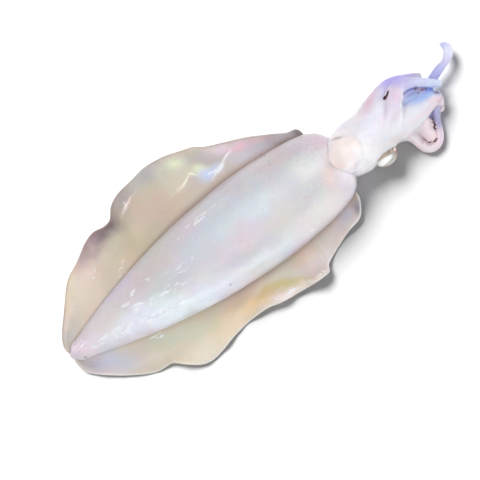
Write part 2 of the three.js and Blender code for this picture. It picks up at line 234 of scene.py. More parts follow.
# The fins thin and rise towards the rim by these powers of their width. The rim's flutter and the slow
# rolling of the faces have a size in millimetres, and the flutter stops at the rim's two ends.
FIN_THINS = 0.7
FIN_RISES = 2.4
FLUTTER_SIZE = 9
FLUTTER_STOPS = 0.05
FIN_ROLL = 0.25
FIN_ROLL_SIZE = 13
RIM_REACH = 1.3

# Degrees that each eye looks towards the table from level.
GAZE_DROP = 24

# The arms run into one another softly up to here, less and less, and keep their own shape beyond.
CROWN_SOFT_FROM = 276
CROWN_SOFT_TO = 304
TIP_ROUNDS = 3

# Width and height of each limb's section as shares of its thickness; the others are nearly round.
SECTIONS = {
    "fourth_arm_left": (1.14, 0.64), "fourth_arm_right": (1.04, 0.74), "third_arm_left": (1.1, 0.74),
    "third_arm_right": (1, 0.86), "first_arm_left": (1.1, 0.55), "second_arm_left": (1.1, 0.8),
}  # fmt: skip
ROUND_SECTION = (1, 0.95)
KEEL = 0.05

# Swelling of the neck on the arms' side of the funnel, and the pad that the curled arm ends make.
NECK_BULGE = {"at": (254, -3.5, 22.5), "half": (9.5, 14.5, 10)}
ARM_END_PAD = {"at": (319.6, -8.4, 10.5), "half": (4.4, 5.4, 4.4)}

# The skin rises in a mound that fills the collar's notch, and the funnel lies on it as a cushion whose edge
# dips into the skin.
FUNNEL_MOUND = {"at": (243, 0, 25.6), "half": (16.8, 15.6, 10.3)}
CUSHION_REACH = 14.2
CUSHION_OVAL = 0.05
CUSHION_CORNERS = 0.03
CUSHION_RISE = 2.4
CUSHION_FALLS = 2.4
CUSHION_DIP = 0.1
CUSHION_THICKNESS = 3

# A roll of the neck's skin fills the collar's lip from inside, over an arc of degrees to either side.
ROLL_ARC = 66
ROLL_DEPTH = 2.3
ROLL_AHEAD = 0.9
ROLL_RADIUS = 2.3
ROLL_KNOTS = 15

# Deep narrow gaps between the roots of the arms. Painted shade, partly the flesh's own deep red, darkens each
# gap and fades out at this many times its size.
GAP_SHADE_FADES = 1.3
GASHES = [
    {"at": (288.6, 14.9, 25.6), "half": (1.6, 1.2, 3.4), "yaw": 10},
    {"at": (291.2, 15.9, 26), "half": (2.8, 0.6, 3.4), "yaw": 38},
]

# Places deep between the curled arms where the skin gets the same deep red painted shade as the gaps.
SHADED_HOLLOWS = [
    {"at": (306.8, -22.2, 5.4), "half": (1.8, 3.4, 4.4), "yaw": -18},
    {"at": (300.6, -31, 5.8), "half": (3.4, 1, 3.4), "yaw": 12},
    {"at": (296.4, -29.7, 6), "half": (1.7, 0.9, 4), "yaw": 0},
    {"at": (320.2, -3, 13.4), "half": (2.6, 0.7, 2), "yaw": -30},
]

# Soft ridges and grooves on the top of the head: [from x, from y, to x, to y, width, rise].
HEAD_RIDGES = [
    [300.5, 10.6, 292.5, 1.6, 1.5, 1], [292.5, 1.6, 281, -8.5, 1.9, 0.8],
    [298, 4.4, 288.5, -6.6, 1.5, -0.7], [286, 19, 270, 0, 3.6, 0.8], [287, 13.6, 275, -1, 2, -0.8],
    [283, 4, 274, -9, 2.2, 0.6], [266, 14, 252, 8, 2.4, -0.6], [262, 2, 256, -12, 3, 0.7],
    [281, -13.6, 268, -10, 1.6, -0.5], [301, 4, 317.6, 1.8, 1, 0.7], [301, 6.2, 316, 4.2, 1.2, -0.9],
    [294, 17.8, 300, 17.2, 0.9, -0.7], [300, 17.2, 304, 12.4, 0.9, -0.7],
]  # fmt: skip

# Lumps and fine puckers of the head and arms, and of the mantle: [height, size, seed] in millimetres.
HEAD_LUMPS = [[0.4, 9, 7], [0.24, 4.2, 9]]
MANTLE_LUMPS = [[0.45, 24, 0], [0.14, 7, 4]]

# Rows of suckers: [limb, from share, to share, number, degrees round the limb from its left, radius in mm].
SUCKER_ROWS = [
    ["third_arm_right", 0.2, 0.37, 4, 68, 1.3], ["third_arm_right", 0.42, 0.6, 3, 60, 1.1],
    ["third_arm_right", 0.68, 0.86, 4, 60, 0.8], ["second_arm_right", 0.38, 0.66, 6, 42, 1.2],
    ["right_tentacle", 0.76, 0.98, 4, 190, 1.5], ["right_tentacle", 0.74, 0.96, 4, 150, 1.25],
    ["fourth_arm_right", 0.84, 0.98, 3, 150, 1.3], ["second_arm_left", 0.5, 0.95, 5, 200, 1.0],
    ["first_arm_right", 0.6, 0.96, 4, 70, 1.2],
    ["first_arm_left", 0.42, 0.92, 10, 285, 0.72], ["first_arm_left", 0.44, 0.92, 10, 255, 0.66],
]  # fmt: skip

# A sucker from its foot over its ring into its cup: [radius, height, darkness], for a radius of 1. Each sinks
# into its limb by a share of its radius, and leans and is drawn out by up to these shares.
SUCKER_SINKS = 0.12
SUCKER_LEANS = 0.25
SUCKER_OVAL = 0.2
SUCKER_SIDES = 12
SUCKER_PROFILE = [
    [0, -0.5, 0], [0.7, -0.5, 0], [0.76, 0.1, 0], [1, 0.45, 0], [1, 0.75, 0], [0.8, 0.9, 0.1],
    [0.56, 0.8, 0.6], [0.4, 0.55, 0.9], [0, 0.45, 0.7],
]  # fmt: skip

# Soft hills and hollows of each fin: [along, across, reach, rise].
LEFT_FIN_SWELLS = [
    [58, 55, 7, 1.6], [74, 50, 9, -1.4], [97, 62, 8, 1.4], [118, 62, 12, -1.2], [140, 64, 8, 1.4],
    [157, 50, 9, -2.2], [171, 55, 7, 1.8], [30, 32, 10, 1.2], [212, 38, 7, 1.2],
]  # fmt: skip
RIGHT_FIN_SWELLS = [
    [30, -26, 9, 1.2], [62, -40, 9, -1.2], [84, -50, 10, 1.3], [112, -46, 9, -1], [140, -46, 9, -1.6],
    [160, -50, 8, 1.4], [184, -50, 8, -1.3], [214, -40, 8, 1],
]  # fmt: skip

# A limb's colour comes in between two shares of its length. It is full where the skin lies deeper than
# FLUSH_DEPTH inside the limb, and fades outwards over FLUSH_FADE.
FLUSH_FROM = 0.02
FLUSH_FULL = 0.32
FLUSH_DEPTH = 0.6
FLUSH_FADE = 0.7

# Colours along each limb: [share of its length, red, green, blue].
FLUSHES = {
    "fourth_arm_left": [[0, 236, 232, 240], [0.4, 226, 214, 232], [0.6, 210, 208, 240], [1, 212, 222, 244]],
    "fourth_arm_right": [[0, 240, 238, 242], [0.6, 232, 230, 240], [0.85, 222, 218, 238], [1, 236, 226, 232]],
    "third_arm_left": [
        [0, 232, 228, 240], [0.4, 222, 212, 238], [0.6, 190, 182, 240], [0.84, 190, 182, 220],
        [1, 196, 192, 208],
    ],
    "third_arm_right": [
        [0, 240, 230, 236], [0.4, 238, 226, 232], [0.7, 236, 222, 230], [0.82, 180, 180, 210],
        [1, 166, 172, 210],
    ],
    "second_arm_left": [[0, 220, 220, 240], [0.5, 180, 186, 234], [1, 172, 182, 238]],
    "second_arm_right": [[0, 240, 232, 236], [0.5, 240, 226, 230], [1, 244, 222, 224]],
    "first_arm_left": [
        [0, 214, 210, 236], [0.4, 178, 182, 230], [0.62, 214, 212, 240], [0.76, 232, 232, 250],
        [0.88, 206, 210, 244], [1, 206, 208, 234],
    ],
    "first_arm_right": [[0, 226, 222, 236], [1, 190, 200, 230]],
    "left_tentacle": [[0, 226, 222, 238], [1, 196, 196, 232]],
    "right_tentacle": [[0, 236, 226, 234], [1, 196, 196, 228]],
}  # fmt: skip


def tone(red, green, blue):
    """A screen colour of 0 to 255 as the linear colour that shaders use."""
    parts = [c / 255 for c in (red, green, blue)]
    return tuple(c / 12.92 if c <= 0.04045 else ((c + 0.055) / 1.055) ** 2.4 for c in parts)


# ---- Curves ----


def clamp(value, low=0.0, high=1.0):
    return max(low, min(high, value))


def lerp(start, end, share):
    return start + (end - start) * share


def smoothstep(value, low, high):
    share = clamp((value - low) / (high - low))
    return share * share * (3 - 2 * share)


def ramp(value, start, end, low, high):
    """Goes smoothly from start to end while a value goes from low to high."""
    return lerp(start, end, smoothstep(value, low, high))


def bell(distance, width):
    return math.exp(-((distance / width) ** 2))


def through(knots, at, column=1):
    """A smooth curve through knots [at, value, ...] that never overshoots them."""
    last = len(knots) - 1
    if at <= knots[0][0]:
        return knots[0][column]
    if at >= knots[last][0]:
        return knots[last][column]
    i = next(k for k, knot in enumerate(knots) if knot[0] > at) - 1

    def slope(k):
        return (knots[k + 1][column] - knots[k][column]) / (knots[k + 1][0] - knots[k][0])

    def tangent(k):
        if k == 0:
            return slope(0)
        if k == last:
            return slope(last - 1)
        before, after = slope(k - 1), slope(k)
        return 0 if before * after <= 0 else 2 * before * after / (before + after)

    span = knots[i + 1][0] - knots[i][0]
    s = (at - knots[i][0]) / span
    start = (1 + 2 * s) * (1 - s) ** 2 * knots[i][column] + s * (1 - s) ** 2 * span * tangent(i)
    end = s * s * (3 - 2 * s) * knots[i + 1][column] + s * s * (s - 1) * span * tangent(i + 1)
    return start + end


def curve_through(knots):
    """A smooth curve through points, as a function of the share of them that it has passed."""
    points = [Vector((k[0], k[1], k[2] if len(k) > 2 else 0)) for k in knots]
    run = [2 * points[0] - points[1], *points, 2 * points[-1] - points[-2]]

    def at(share):
        place = clamp(share) * (len(points) - 1)
        i = min(int(place), len(points) - 2)
        w = place - i
        p0, p1, p2, p3 = run[i : i + 4]
        d0, d1, d2 = (math.sqrt((b - a).length) for a, b in ((p0, p1), (p1, p2), (p2, p3)))
        t1 = ((p1 - p0) / d0 - (p2 - p0) / (d0 + d1) + (p2 - p1) / d1) * d1
        t2 = ((p2 - p1) / d1 - (p3 - p1) / (d1 + d2) + (p3 - p2) / d2) * d1
        return p1 + t1 * w + (3 * p2 - 3 * p1 - 2 * t1 - t2) * w**2 + (2 * p1 - 2 * p2 + t1 + t2) * w**3

    return at


def spot(x, y, z):
    """A place given in millimetres from the tail tip, in the model's frame."""
    return Vector(((x - MIDDLE_X) * MM, (y - MIDDLE_Y) * MM, z * MM))


def unevenness(x, y, z, size, seed=0.0):
    """Smooth noise of -1 to 1 whose features are about size millimetres across."""
    return noise.noise(Vector((x, y, z)) / size + Vector((seed, seed, seed)))


def lumps(rows, x, y, z):
    return sum(height * unevenness(x, y, z, size, seed) for height, size, seed in rows)


def ridges(rows, x, y):
    """The rise of soft ridges, each along a straight line, faded out towards its ends."""
    rise = 0
    for x0, y0, x1, y1, width, height in rows:
        long, wide = x1 - x0, y1 - y0
        share = clamp(((x - x0) * long + (y - y0) * wide) / (long**2 + wide**2))
        gap = math.hypot(x - x0 - share * long, y - y0 - share * wide)
        rise += height * bell(gap, width) * math.sqrt(math.sin(math.pi * clamp(share, 0.03, 0.97)))
    return rise


# ---- Making skins ----


def add_skin(bm, along, around, place):
    """Bends a grid of the bmesh into a closed skin. place(u, v) gives each corner in millimetres, u being
    0 to 1 along the form and v 0 to 1 round it."""
    corners = bmesh.ops.create_grid(bm, x_segments=along, y_segments=around, size=0.5)["verts"]
    for corner in corners:
        u, v = round(corner.co.x + 0.5, 6), round(corner.co.y + 0.5, 6)
        corner.co = spot(*place(u, v))
    bmesh.ops.remove_doubles(bm, verts=corners, dist=2e-7)


def add_ball(bm, ball, margin=0.0, along=48, around=64):
    """An ellipsoid, turned about the squid's length by its tilt and level by its yaw, grown by a margin."""
    half = [(h + margin) * MM for h in ball["half"]]
    turn = Matrix.Rotation(math.radians(ball.get("yaw", 0)), 4, "Z")
    turn @= Matrix.Rotation(math.radians(-ball.get("tilt", 0)), 4, "X")
    matrix = Matrix.Translation(spot(*ball["at"])) @ turn @ Matrix.Diagonal((*half, 1))
    bmesh.ops.create_uvsphere(bm, u_segments=around, v_segments=along, radius=1, matrix=matrix)


def cushion_place(bed):
    """The funnel's skin, closed underneath. bed(x, y) is the height of the skin that it lies on."""
    middle_x, middle_y = FUNNEL_MIDDLE

    def place(u, v):
        share, turn = math.sin(math.pi * u), v * 2 * math.pi
        uneven = CUSHION_OVAL * math.sin(2 * turn + 1) + CUSHION_CORNERS * math.sin(3 * turn)
        reach = CUSHION_REACH * share * (1 + uneven)
        x, y = middle_x + reach * math.cos(turn), middle_y + reach * math.sin(turn)
        dome = 1 - share**2
        rise = CUSHION_RISE * dome**CUSHION_FALLS if u < 0.5 else -CUSHION_THICKNESS * math.sqrt(dome)
        return x, y, bed(x, y) + rise - CUSHION_DIP

    return place


def finished(name, bm, material):
    """The bmesh as an object that rides on the squid and takes its finish from one of its slots."""
    bmesh.ops.recalc_face_normals(bm, faces=bm.faces)
    mesh = bpy.data.meshes.new(name)
    bm.to_mesh(mesh)
    bm.free()
    return dressed(name, mesh, material)


def dressed(name, mesh, material):
    """The mesh as such an object, smooth and in its own material."""
    mesh.materials.clear()
    mesh.materials.append(material)
    mesh.shade_smooth()
    piece = bpy.data.objects.new(name, mesh)
    bpy.context.scene.collection.objects.link(piece)
    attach(piece, "root")
    return piece


def note_along(piece, name, value):
    """Stores a number at every corner of the piece, from its place in millimetres from the tail tip."""
    mesh = piece.data
    values = [value(v.co.x / MM + MIDDLE_X, v.co.y / MM + MIDDLE_Y, v.co.z / MM) for v in mesh.vertices]
    mesh.attributes.new(name, "FLOAT", "POINT").data.foreach_set("value", values)


# ---- Mantle ----


def section_point(angle, half_width, crown, underside):
    """A point of a cross-section: flat underneath, round on top, widest below the middle."""
    waist = underside + (crown - underside) * WIDEST_AT
    up = math.sin(angle)
    below = max(underside, waist + (waist - underside) * FLATTENING * up)
    return half_width * math.cos(angle), waist + (crown - waist) * up if up >= 0 else below


@lru_cache(maxsize=None)
def mantle_station(u):
    """Half width, crown, underside, share of the length, way back from it and spread of one ring."""
    share, inset, back, spread = 1.0, 0.0, 0.0, 1.0
    if u < TAIL_CAP_ENDS:
        turn = u / TAIL_CAP_ENDS * math.pi / 2
        share, back, spread = 0.0, TAIL_ROUNDING * math.cos(turn), math.sin(turn)
    elif u < LIP_STARTS:
        share = (1 - math.cos((u - TAIL_CAP_ENDS) / (LIP_STARTS - TAIL_CAP_ENDS) * math.pi)) / 2
    elif u < LIP_ENDS:
        turn = (u - LIP_STARTS) / (LIP_ENDS - LIP_STARTS) * math.pi
        inset, back = MANTLE_WALL * (1 - math.cos(turn)) / 2, -LIP_ROUNDING * math.sin(turn)
    else:
        inset, back = MANTLE_WALL, COLLAR_POCKET * (u - LIP_ENDS) / (1 - LIP_ENDS)
        spread = 1.0 if u < 1 else 0.0
    return (
        through(HALF_WIDTHS, share) - inset,
        through(CROWNS, share) - inset,
        through(UNDERSIDES, share) + inset,
        share,
        back,
        spread,
    )


def mantle_place(folds):
    """The mantle's skin. Near the tail it is gathered into small folds that run to the tip."""

    def place(u, v):
        angle = v * 2 * math.pi
        half_width, crown, underside, share, back, spread = mantle_station(u)
        middle = (crown + underside) / 2
        if not spread:
            return share * MANTLE_LENGTH - back, 0, middle
        y, z = section_point(angle, half_width, crown, underside)
        notch = FUNNEL_NOTCH * smoothstep(share, COLLAR_CURVES_FROM, 1)
        cut_back = notch * bell(y, FUNNEL_NOTCH_HALF_WIDTH) if math.sin(angle) > 0 else 0
        x = share * MANTLE_LENGTH - back - cut_back
        depth = folds * bell(x - TAIL_FOLDS_AT, TAIL_FOLDS_REACH) * (0.7 + unevenness(x, y, z, 5))
        gather = depth * smoothstep(math.sin(angle), 0.1, 0.5)
        swell = gather * math.sin(TAIL_FOLDS_ROUND * angle + 2.2 * unevenness(x, y, z, 9, 5))
        swell += lumps(MANTLE_LUMPS, x, y, z) * smoothstep(x, 4, 40)
        ridge = RIDGE_RISE * bell(angle - RIDGE_ANGLE, RIDGE_WIDTH)
        swell += ridge * smoothstep(x, *RIDGE_IN) * (1 - smoothstep(x, *RIDGE_OUT))
        top = smoothstep(math.sin(angle), -0.1, 0.35)
        grow = 1 + swell * top / max(6, half_width)
        lip = LIP_WAVE * unevenness(x, y, z, LIP_WAVE_SIZE, 3) * smoothstep(share, 0.985, 1)
        return x + lip, y * spread * grow, middle + (z - middle) * spread * (grow if z > middle else 1)

    return place


# ---- Fins ----


def fin_height(side, out, lift, fullness):
    """Height of a fin's upper or lower face, side being -1 to 1 and out 0 at the root and 1 at the rim."""
    thickness = fullness * lerp(FIN_ROOT_THICKNESS, FIN_EDGE_THICKNESS, out**FIN_THINS)
    sunk = lerp(FIN_ROOT_HEIGHT, FIN_EDGE_THICKNESS / 2, smoothstep(out, 0.15, 0.75))
    bulge = math.copysign(min(1, 2.1 * abs(side)), side)
    return sunk + lift * out**FIN_RISES + thickness / 2 * bulge


def fin_place(edge_knots, ruffles, swells, side, ripple):
    """A fin's skin, from its root inside the mantle to its rim and back underneath."""
    edge = curve_through(edge_knots)

    @lru_cache(maxsize=None)
    def station(u):
        rim = edge(u)
        root_x = clamp(rim.x, FIN_ROOT_FROM, FIN_ROOT_TO)
        root_y = side * FIN_ROOT_INSIDE * through(HALF_WIDTHS, root_x / MANTLE_LENGTH)
        lift = sum(rise * bell(rim.x - at, half) for at, rise, half in ruffles)
        inside = (1 - bell(u, FLUTTER_STOPS)) * (1 - bell(u - 1, FLUTTER_STOPS))
        flutter = ripple * unevenness(rim.x, rim.y, 0, FLUTTER_SIZE, side) * inside
        fullness = lerp(0.35, 1, math.sqrt(math.sin(math.pi * clamp(u, 0.03, 0.97))))
        return rim, root_x, root_y, lift, flutter, fullness

    def place(u, v):
        angle = v * 2 * math.pi
        out = (1 + math.cos(angle)) / 2
        rim, root_x, root_y, lift, flutter, fullness = station(u)
        x, y = lerp(root_x, rim.x, out), lerp(root_y, rim.y, out)
        face = 0.0 if u in (0.0, 1.0) else math.sin(angle)
        z = fin_height(face, out, lift, fullness) + flutter * out**4
        z += sum(rise * bell(math.hypot(x - at, y - across), reach) for at, across, reach, rise in swells)
        z += FIN_ROLL * unevenness(x, y, 0, FIN_ROLL_SIZE) * out
        floor = 0.05 if face >= 0 else 0.0
        if u in (0.0, 1.0):
            x, y, z = lerp(root_x, rim.x, 0.5), lerp(root_y, rim.y, 0.5), fin_height(0, 0.5, lift, fullness)
        return x, y, max(floor, z)

    return place


def crease(x, y, z):
    """Painted shade on a fin, by how near a place is to the line where it leaves the mantle, seen from above.
    """
    beyond = abs(y) - through(HALF_WIDTHS, x / MANTLE_LENGTH)
    depth = ramp(x, *(RIGHT_CREASE_SHADE if y < 0 else LEFT_CREASE_SHADE))
    return depth * bell(max(0, beyond), ramp(x, *CREASE_SHADE_WIDTH))


def hem(x, y, z):
    """Painted shade on the mantle, by how near a place is to the line where it meets a fin, seen from above.
    """
    within = through(HALF_WIDTHS, x / MANTLE_LENGTH) - abs(y)
    depth = ramp(x, *(RIGHT_HEM_SHADE if y < 0 else LEFT_HEM_SHADE))
    return depth * bell(max(0, within), HEM_SHADE_WIDTH) * (1 - smoothstep(x, *HEM_SHADE_STOPS))


def rim_nearness(edge_knots):
    """How near a place of a fin is to its outer edge."""
    edge = curve_through(edge_knots)
    line = np.array([edge(i / 600)[:2] for i in range(601)])

    def value(x, y, z):
        gap = math.sqrt(((line - (x, y)) ** 2).sum(1).min())
        return bell(gap, RIM_REACH)

    return value


# ---- Head, arms and suckers ----


def head_place(u, v):
    """The head's skin, drawn up off the table at both ends."""
    x = lerp(HEAD_FROM, HEAD_TO, u)
    half_width, crown, offset = (through(HEAD, x, column) for column in (1, 2, 3))
    neck, end = bell(x - HEAD_FROM, NECK_DRAWN_OVER), bell(x - HEAD_TO, CROWN_DRAWN_OVER)
    underside = HEAD_LIFT + HEAD_DRAWN_UP * neck + HEAD_DRAWN_UP * end
    y, z = section_point(v * 2 * math.pi, half_width, crown, underside)
    if u in (0.0, 1.0):
        y, z = 0, (crown + underside) / 2
    return x, offset + y, z


def limb_frame(route):
    """The middle, left and up directions and radius of a limb, as a function of the share of its knots."""
    middle = curve_through(route)
    radii = [[i, knot[3]] for i, knot in enumerate(route)]

    @lru_cache(maxsize=None)
    def at(u):
        ahead = (middle(u + 1e-4) - middle(u - 1e-4)).normalized()
        left = Vector((0, 0, 1)).cross(ahead).normalized()
        return middle(u), left, ahead.cross(left), through(radii, u * (len(route) - 1))

    return at


def limb_place(route, section=ROUND_SECTION):
    """A limb's skin, a little keeled along its outer side and pressed flat where it meets the table."""
    at = limb_frame(route)
    full_width, full_height = section

    def place(u, v):
        centre, left, up, radius = at(u)
        angle = v * 2 * math.pi
        keel = 1 + KEEL * math.cos(3 * (angle - math.pi / 2))
        spread = 0.0 if u in (0.0, 1.0) else radius * keel
        away = smoothstep(u, 0.15, 0.5)
        wide, high = lerp(1, full_width, away), lerp(1, full_height, away)
        point = centre + left * (math.cos(angle) * spread * wide) + up * (math.sin(angle) * spread * high)
        return point.x, point.y, max(0.0, point.z)

    return place


def collar_roll():
    """The route of the roll that follows the collar's lip over the top, round the funnel's notch."""
    half_width, crown, underside = (knots[-1][1] for knots in (HALF_WIDTHS, CROWNS, UNDERSIDES))
    route = []
    for i in range(ROLL_KNOTS):
        angle = math.radians(90 + ROLL_ARC * (2 * i / (ROLL_KNOTS - 1) - 1))
        y, z = section_point(angle, half_width - ROLL_DEPTH, crown - ROLL_DEPTH, underside)
        x = MANTLE_LENGTH + ROLL_AHEAD - FUNNEL_NOTCH * bell(y, FUNNEL_NOTCH_HALF_WIDTH)
        route.append([x, y, z, ROLL_RADIUS])
    return route


def nearness(balls):
    """A measure that is 1 inside any of some balls and 0 a little outside them."""
    turned = [(Vector(b["at"]), Matrix.Rotation(math.radians(-b["yaw"]), 3, "Z"), b["half"]) for b in balls]

    def value(x, y, z):
        gaps = []
        for middle, turn, half in turned:
            away = turn @ (Vector((x, y, z)) - middle)
            gaps.append(math.hypot(*(a / h for a, h in zip(away, half))))
        return 1 - smoothstep(min(gaps), 1, GAP_SHADE_FADES)

    return value


def add_sucker(bm, ring, limb, frame_here, angle, radius, number):
    """One cup with a rolled ring on a short foot, turned to face out of its limb."""
    centre, left, up, thickness = frame_here
    wide_share, high_share = SECTIONS.get(limb, ROUND_SECTION)
    outward = (left * math.cos(angle) + up * math.sin(angle)).normalized()
    surface = left * (math.cos(angle) * wide_share) + up * (math.sin(angle) * high_share)
    sunk = centre + surface * (thickness - SUCKER_SINKS * radius)
    along = left.cross(up)
    across = outward.cross(along)
    lean, oval = SUCKER_LEANS * math.sin(2.4 * number), 1 + SUCKER_OVAL * math.sin(3.1 * number)
    rings = len(SUCKER_PROFILE) - 1
    corners = bmesh.ops.create_grid(bm, x_segments=rings, y_segments=SUCKER_SIDES, size=0.5)["verts"]
    for corner in corners:
        i, v = round((corner.co.x + 0.5) * rings), corner.co.y + 0.5
        wide, high, dark = SUCKER_PROFILE[i]
        turn = v * 2 * math.pi
        shift = lean * max(0, high)
        round_about = along * (math.cos(turn) * wide * oval + shift) + across * (math.sin(turn) * wide)
        corner[ring] = dark
        place = sunk + (round_about + outward * high) * radius
        corner.co = spot(place.x, place.y, max(0.1, place.z))
    bmesh.ops.remove_doubles(bm, verts=corners, dist=2e-6)


def drop_scraps(bm):
    """Deletes every shell of a bmesh but the largest: loose scraps, and hollows that fusing has shut in."""
    shells, left = [], set(bm.verts)
    while left:
        shell, ahead = [], [left.pop()]
        while ahead:
            corner = ahead.pop()
            shell.append(corner)
            linked = {edge.other_vert(corner) for edge in corner.link_edges} & left
            left -= linked
            ahead.extend(linked)
        shells.append(shell)
    for shell in sorted(shells, key=len)[:-1]:
        bmesh.ops.delete(bm, geom=shell, context="VERTS")


def fused(bm, voxel, rounds):
    """The overlapping closed skins of a bmesh as one skin, relaxed so that they run into one another: most
    at the crown of the arms, and least at their tips."""
    bmesh.ops.recalc_face_normals(bm, faces=bm.faces)
    mesh = bpy.data.meshes.new("fused")
    bm.to_mesh(mesh)
    bm.free()
    whole = bpy.data.objects.new("fused", mesh)
    bpy.context.scene.collection.objects.link(whole)
    remesh = whole.modifiers.new("Remesh", "REMESH")
    remesh.mode = "VOXEL"
    remesh.voxel_size = voxel * MM
    evaluated = whole.evaluated_get(bpy.context.evaluated_depsgraph_get())
    result = bpy.data.meshes.new_from_object(evaluated)
    bpy.data.objects.remove(whole)
    bpy.data.meshes.remove(mesh)
    bm = bmesh.new()
    bm.from_mesh(result)
    drop_scraps(bm)
    for i in range(rounds):
        ends_at = lerp(CROWN_SOFT_TO, CROWN_SOFT_FROM, i / rounds)
        soft = [v for v in bm.verts if i < TIP_ROUNDS or v.co.x / MM + MIDDLE_X < ends_at]
        bmesh.ops.smooth_vert(bm, verts=soft, factor=0.5, use_axis_x=True, use_axis_y=True, use_axis_z=True)
    bm.normal_update()
    for corner in bm.verts:
        x, y, z = corner.co.x / MM + MIDDLE_X, corner.co.y / MM + MIDDLE_Y, corner.co.z / MM
        upper = smoothstep(corner.normal.z, 0.1, 0.6)
        corner.co += corner.normal * ((lumps(HEAD_LUMPS, x, y, z) + ridges(HEAD_RIDGES, x, y) * upper) * MM)
    bm.to_mesh(result)
    bm.free()
    return result


def cut(mesh, balls, gashes):
    """The mesh with a socket hollowed out for each ball, and with narrow gashes."""
    bm = bmesh.new()
    for ball in balls:
        add_ball(bm, ball, EYE_CLEARANCE)
    for gash in gashes:
        add_ball(bm, gash, 0, 24, 32)
    tool_mesh = bpy.data.meshes.new("sockets")
    bm.to_mesh(tool_mesh)
    bm.free()
    tool = bpy.data.objects.new("sockets", tool_mesh)
    whole = bpy.data.objects.new("whole", mesh)
    for item in (tool, whole):
        bpy.context.scene.collection.objects.link(item)
    hollow = whole.modifiers.new("Hollow", "BOOLEAN")
    hollow.operation = "DIFFERENCE"
    hollow.solver = "MANIFOLD"
    hollow.object = tool
    evaluated = whole.evaluated_get(bpy.context.evaluated_depsgraph_get())
    result = bpy.data.meshes.new_from_object(evaluated)
    for item in (tool, whole):
        bpy.data.objects.remove(item)
    return result


def flush_colours(mesh, base):
    """Gives every corner of the head the colour of the limbs that it lies on, as the attribute flush."""
    places = np.empty(len(mesh.vertices) * 3)
    mesh.vertices.foreach_get("co", places)
    places = places.reshape(-1, 3) / MM + (MIDDLE_X, MIDDLE_Y, 0)
    total = np.full(len(places), 0.02)
    colour = np.outer(total, base)
    for name, route in LIMBS.items():
        at = limb_frame(route)
        shares = [i / 90 for i in range(91)]
        line = np.array([at(s)[0] for s in shares])
        radii = np.array([at(s)[3] for s in shares])
        knots = FLUSHES[name]
        shades = np.array([tone(*(through(knots, s, column) for column in (1, 2, 3))) for s in shares])
        gaps = np.linalg.norm(places[:, None, :] - line[None, :, :], axis=2) - radii
        nearest = gaps.argmin(1)
        depth = gaps[np.arange(len(places)), nearest]
        start = np.clip((np.array(shares)[nearest] - FLUSH_FROM) / (FLUSH_FULL - FLUSH_FROM), 0, 1)
        weight = np.exp(-np.clip(depth + FLUSH_DEPTH, 0, None) / FLUSH_FADE) * start**2
        total += weight
        colour += weight[:, None] * shades[nearest]
    colour /= total[:, None]
    flush = mesh.attributes.new("flush", "FLOAT_COLOR", "POINT")
    flush.data.foreach_set("color", np.hstack([colour, np.ones((len(places), 1))]).ravel())


# ---- Materials ----

# Glints are painted highlights: cloud noise above a level, which sinks by the gain where they are wanted.
PAINTED_GLINT_COLOUR = (0.93, 0.96, 1.0)
GLINT_STRETCH = 0.32
GLINT_BEND = 0.006
GLINT_LEVEL = 0.68
GLINT_GAIN = 0.19
GLINT_HARDNESS = 16.0
GLINT_SCALE = 420.0

# The relief of the skin is drawn out along the squid by this share.
SKIN_STRETCH = 0.55

# Cloud noise seldom strays more than a quarter from its middle, so a drift is multiplied by this.
DRIFT_GAIN = 4
DRIFT_SCALE = 60.0


class Board:
    """Short ways to add nodes to a node tree and to join them."""

    def __init__(self, tree):
        self.tree = tree

    def add(self, kind, inputs=None, **settings):
        node = self.tree.nodes.new(kind)
        for name, value in settings.items():
            setattr(node, name, value)
        for name, value in (inputs or {}).items():
            self.feed(node.inputs[name], value)
        return node

    def feed(self, socket, value):
        if isinstance(value, bpy.types.NodeSocket):
            self.tree.links.new(value, socket)
        elif socket.type == "RGBA" and len(value) == 3:
            socket.default_value = (*value, 1)
        else:
            socket.default_value = value

    def math(self, operation, *values, clamped=False):
        node = self.add("ShaderNodeMath", dict(enumerate(values)), operation=operation, use_clamp=clamped)
        return node.outputs[0]

    def vector(self, operation, *values):
        node = self.add("ShaderNodeVectorMath", dict(enumerate(values)), operation=operation)
        return node.outputs["Value" if operation == "LENGTH" else "Vector"]

    def mix(self, share, first, second, blend="MIX"):
        inputs = {0: share, 6: first, 7: second}
        node = self.add("ShaderNodeMix", inputs, data_type="RGBA", blend_type=blend)
        return node.outputs[2]

    def wash(self, mask, strength, colour, tint):
        """Lays a tint over a colour by a mask, at a strength of 0 to 1."""
        return self.mix(self.math("MULTIPLY", mask, strength), colour, tint)

    def cloud(self, place, scale, detail=2.0):
        """Smooth noise, as a number and as a colour."""
        return self.add("ShaderNodeTexNoise", {"Vector": place, "Scale": scale, "Detail": detail}).outputs

    def noted(self, name, output="Fac"):
        """What the mesh stores at its corners under a name."""
        return self.add("ShaderNodeAttribute", attribute_name=name).outputs[output]


def new_group(name, inputs, outputs):
    """An empty shader node group with named sockets, and a board to fill it with. An input is given by its
    kind or, for a number, by its default."""
    tree = bpy.data.node_groups.new(name, "ShaderNodeTree")
    for label, given in inputs.items():
        kind = given if isinstance(given, str) else "Float"
        socket = tree.interface.new_socket(label, in_out="INPUT", socket_type="NodeSocket" + kind)
        if kind == "Float":
            socket.default_value = given
    for label, kind in outputs.items():
        tree.interface.new_socket(label, in_out="OUTPUT", socket_type="NodeSocket" + kind)
    board = Board(tree)
    return tree, board, board.add("NodeGroupInput").outputs, board.add("NodeGroupOutput").inputs


def placed(board, tree, inputs):
    """A node group placed on a board with its own values."""
    node = board.add("ShaderNodeGroup", None, node_tree=tree)
    for name, value in inputs.items():
        board.feed(node.inputs[name], value)
    return node.outputs


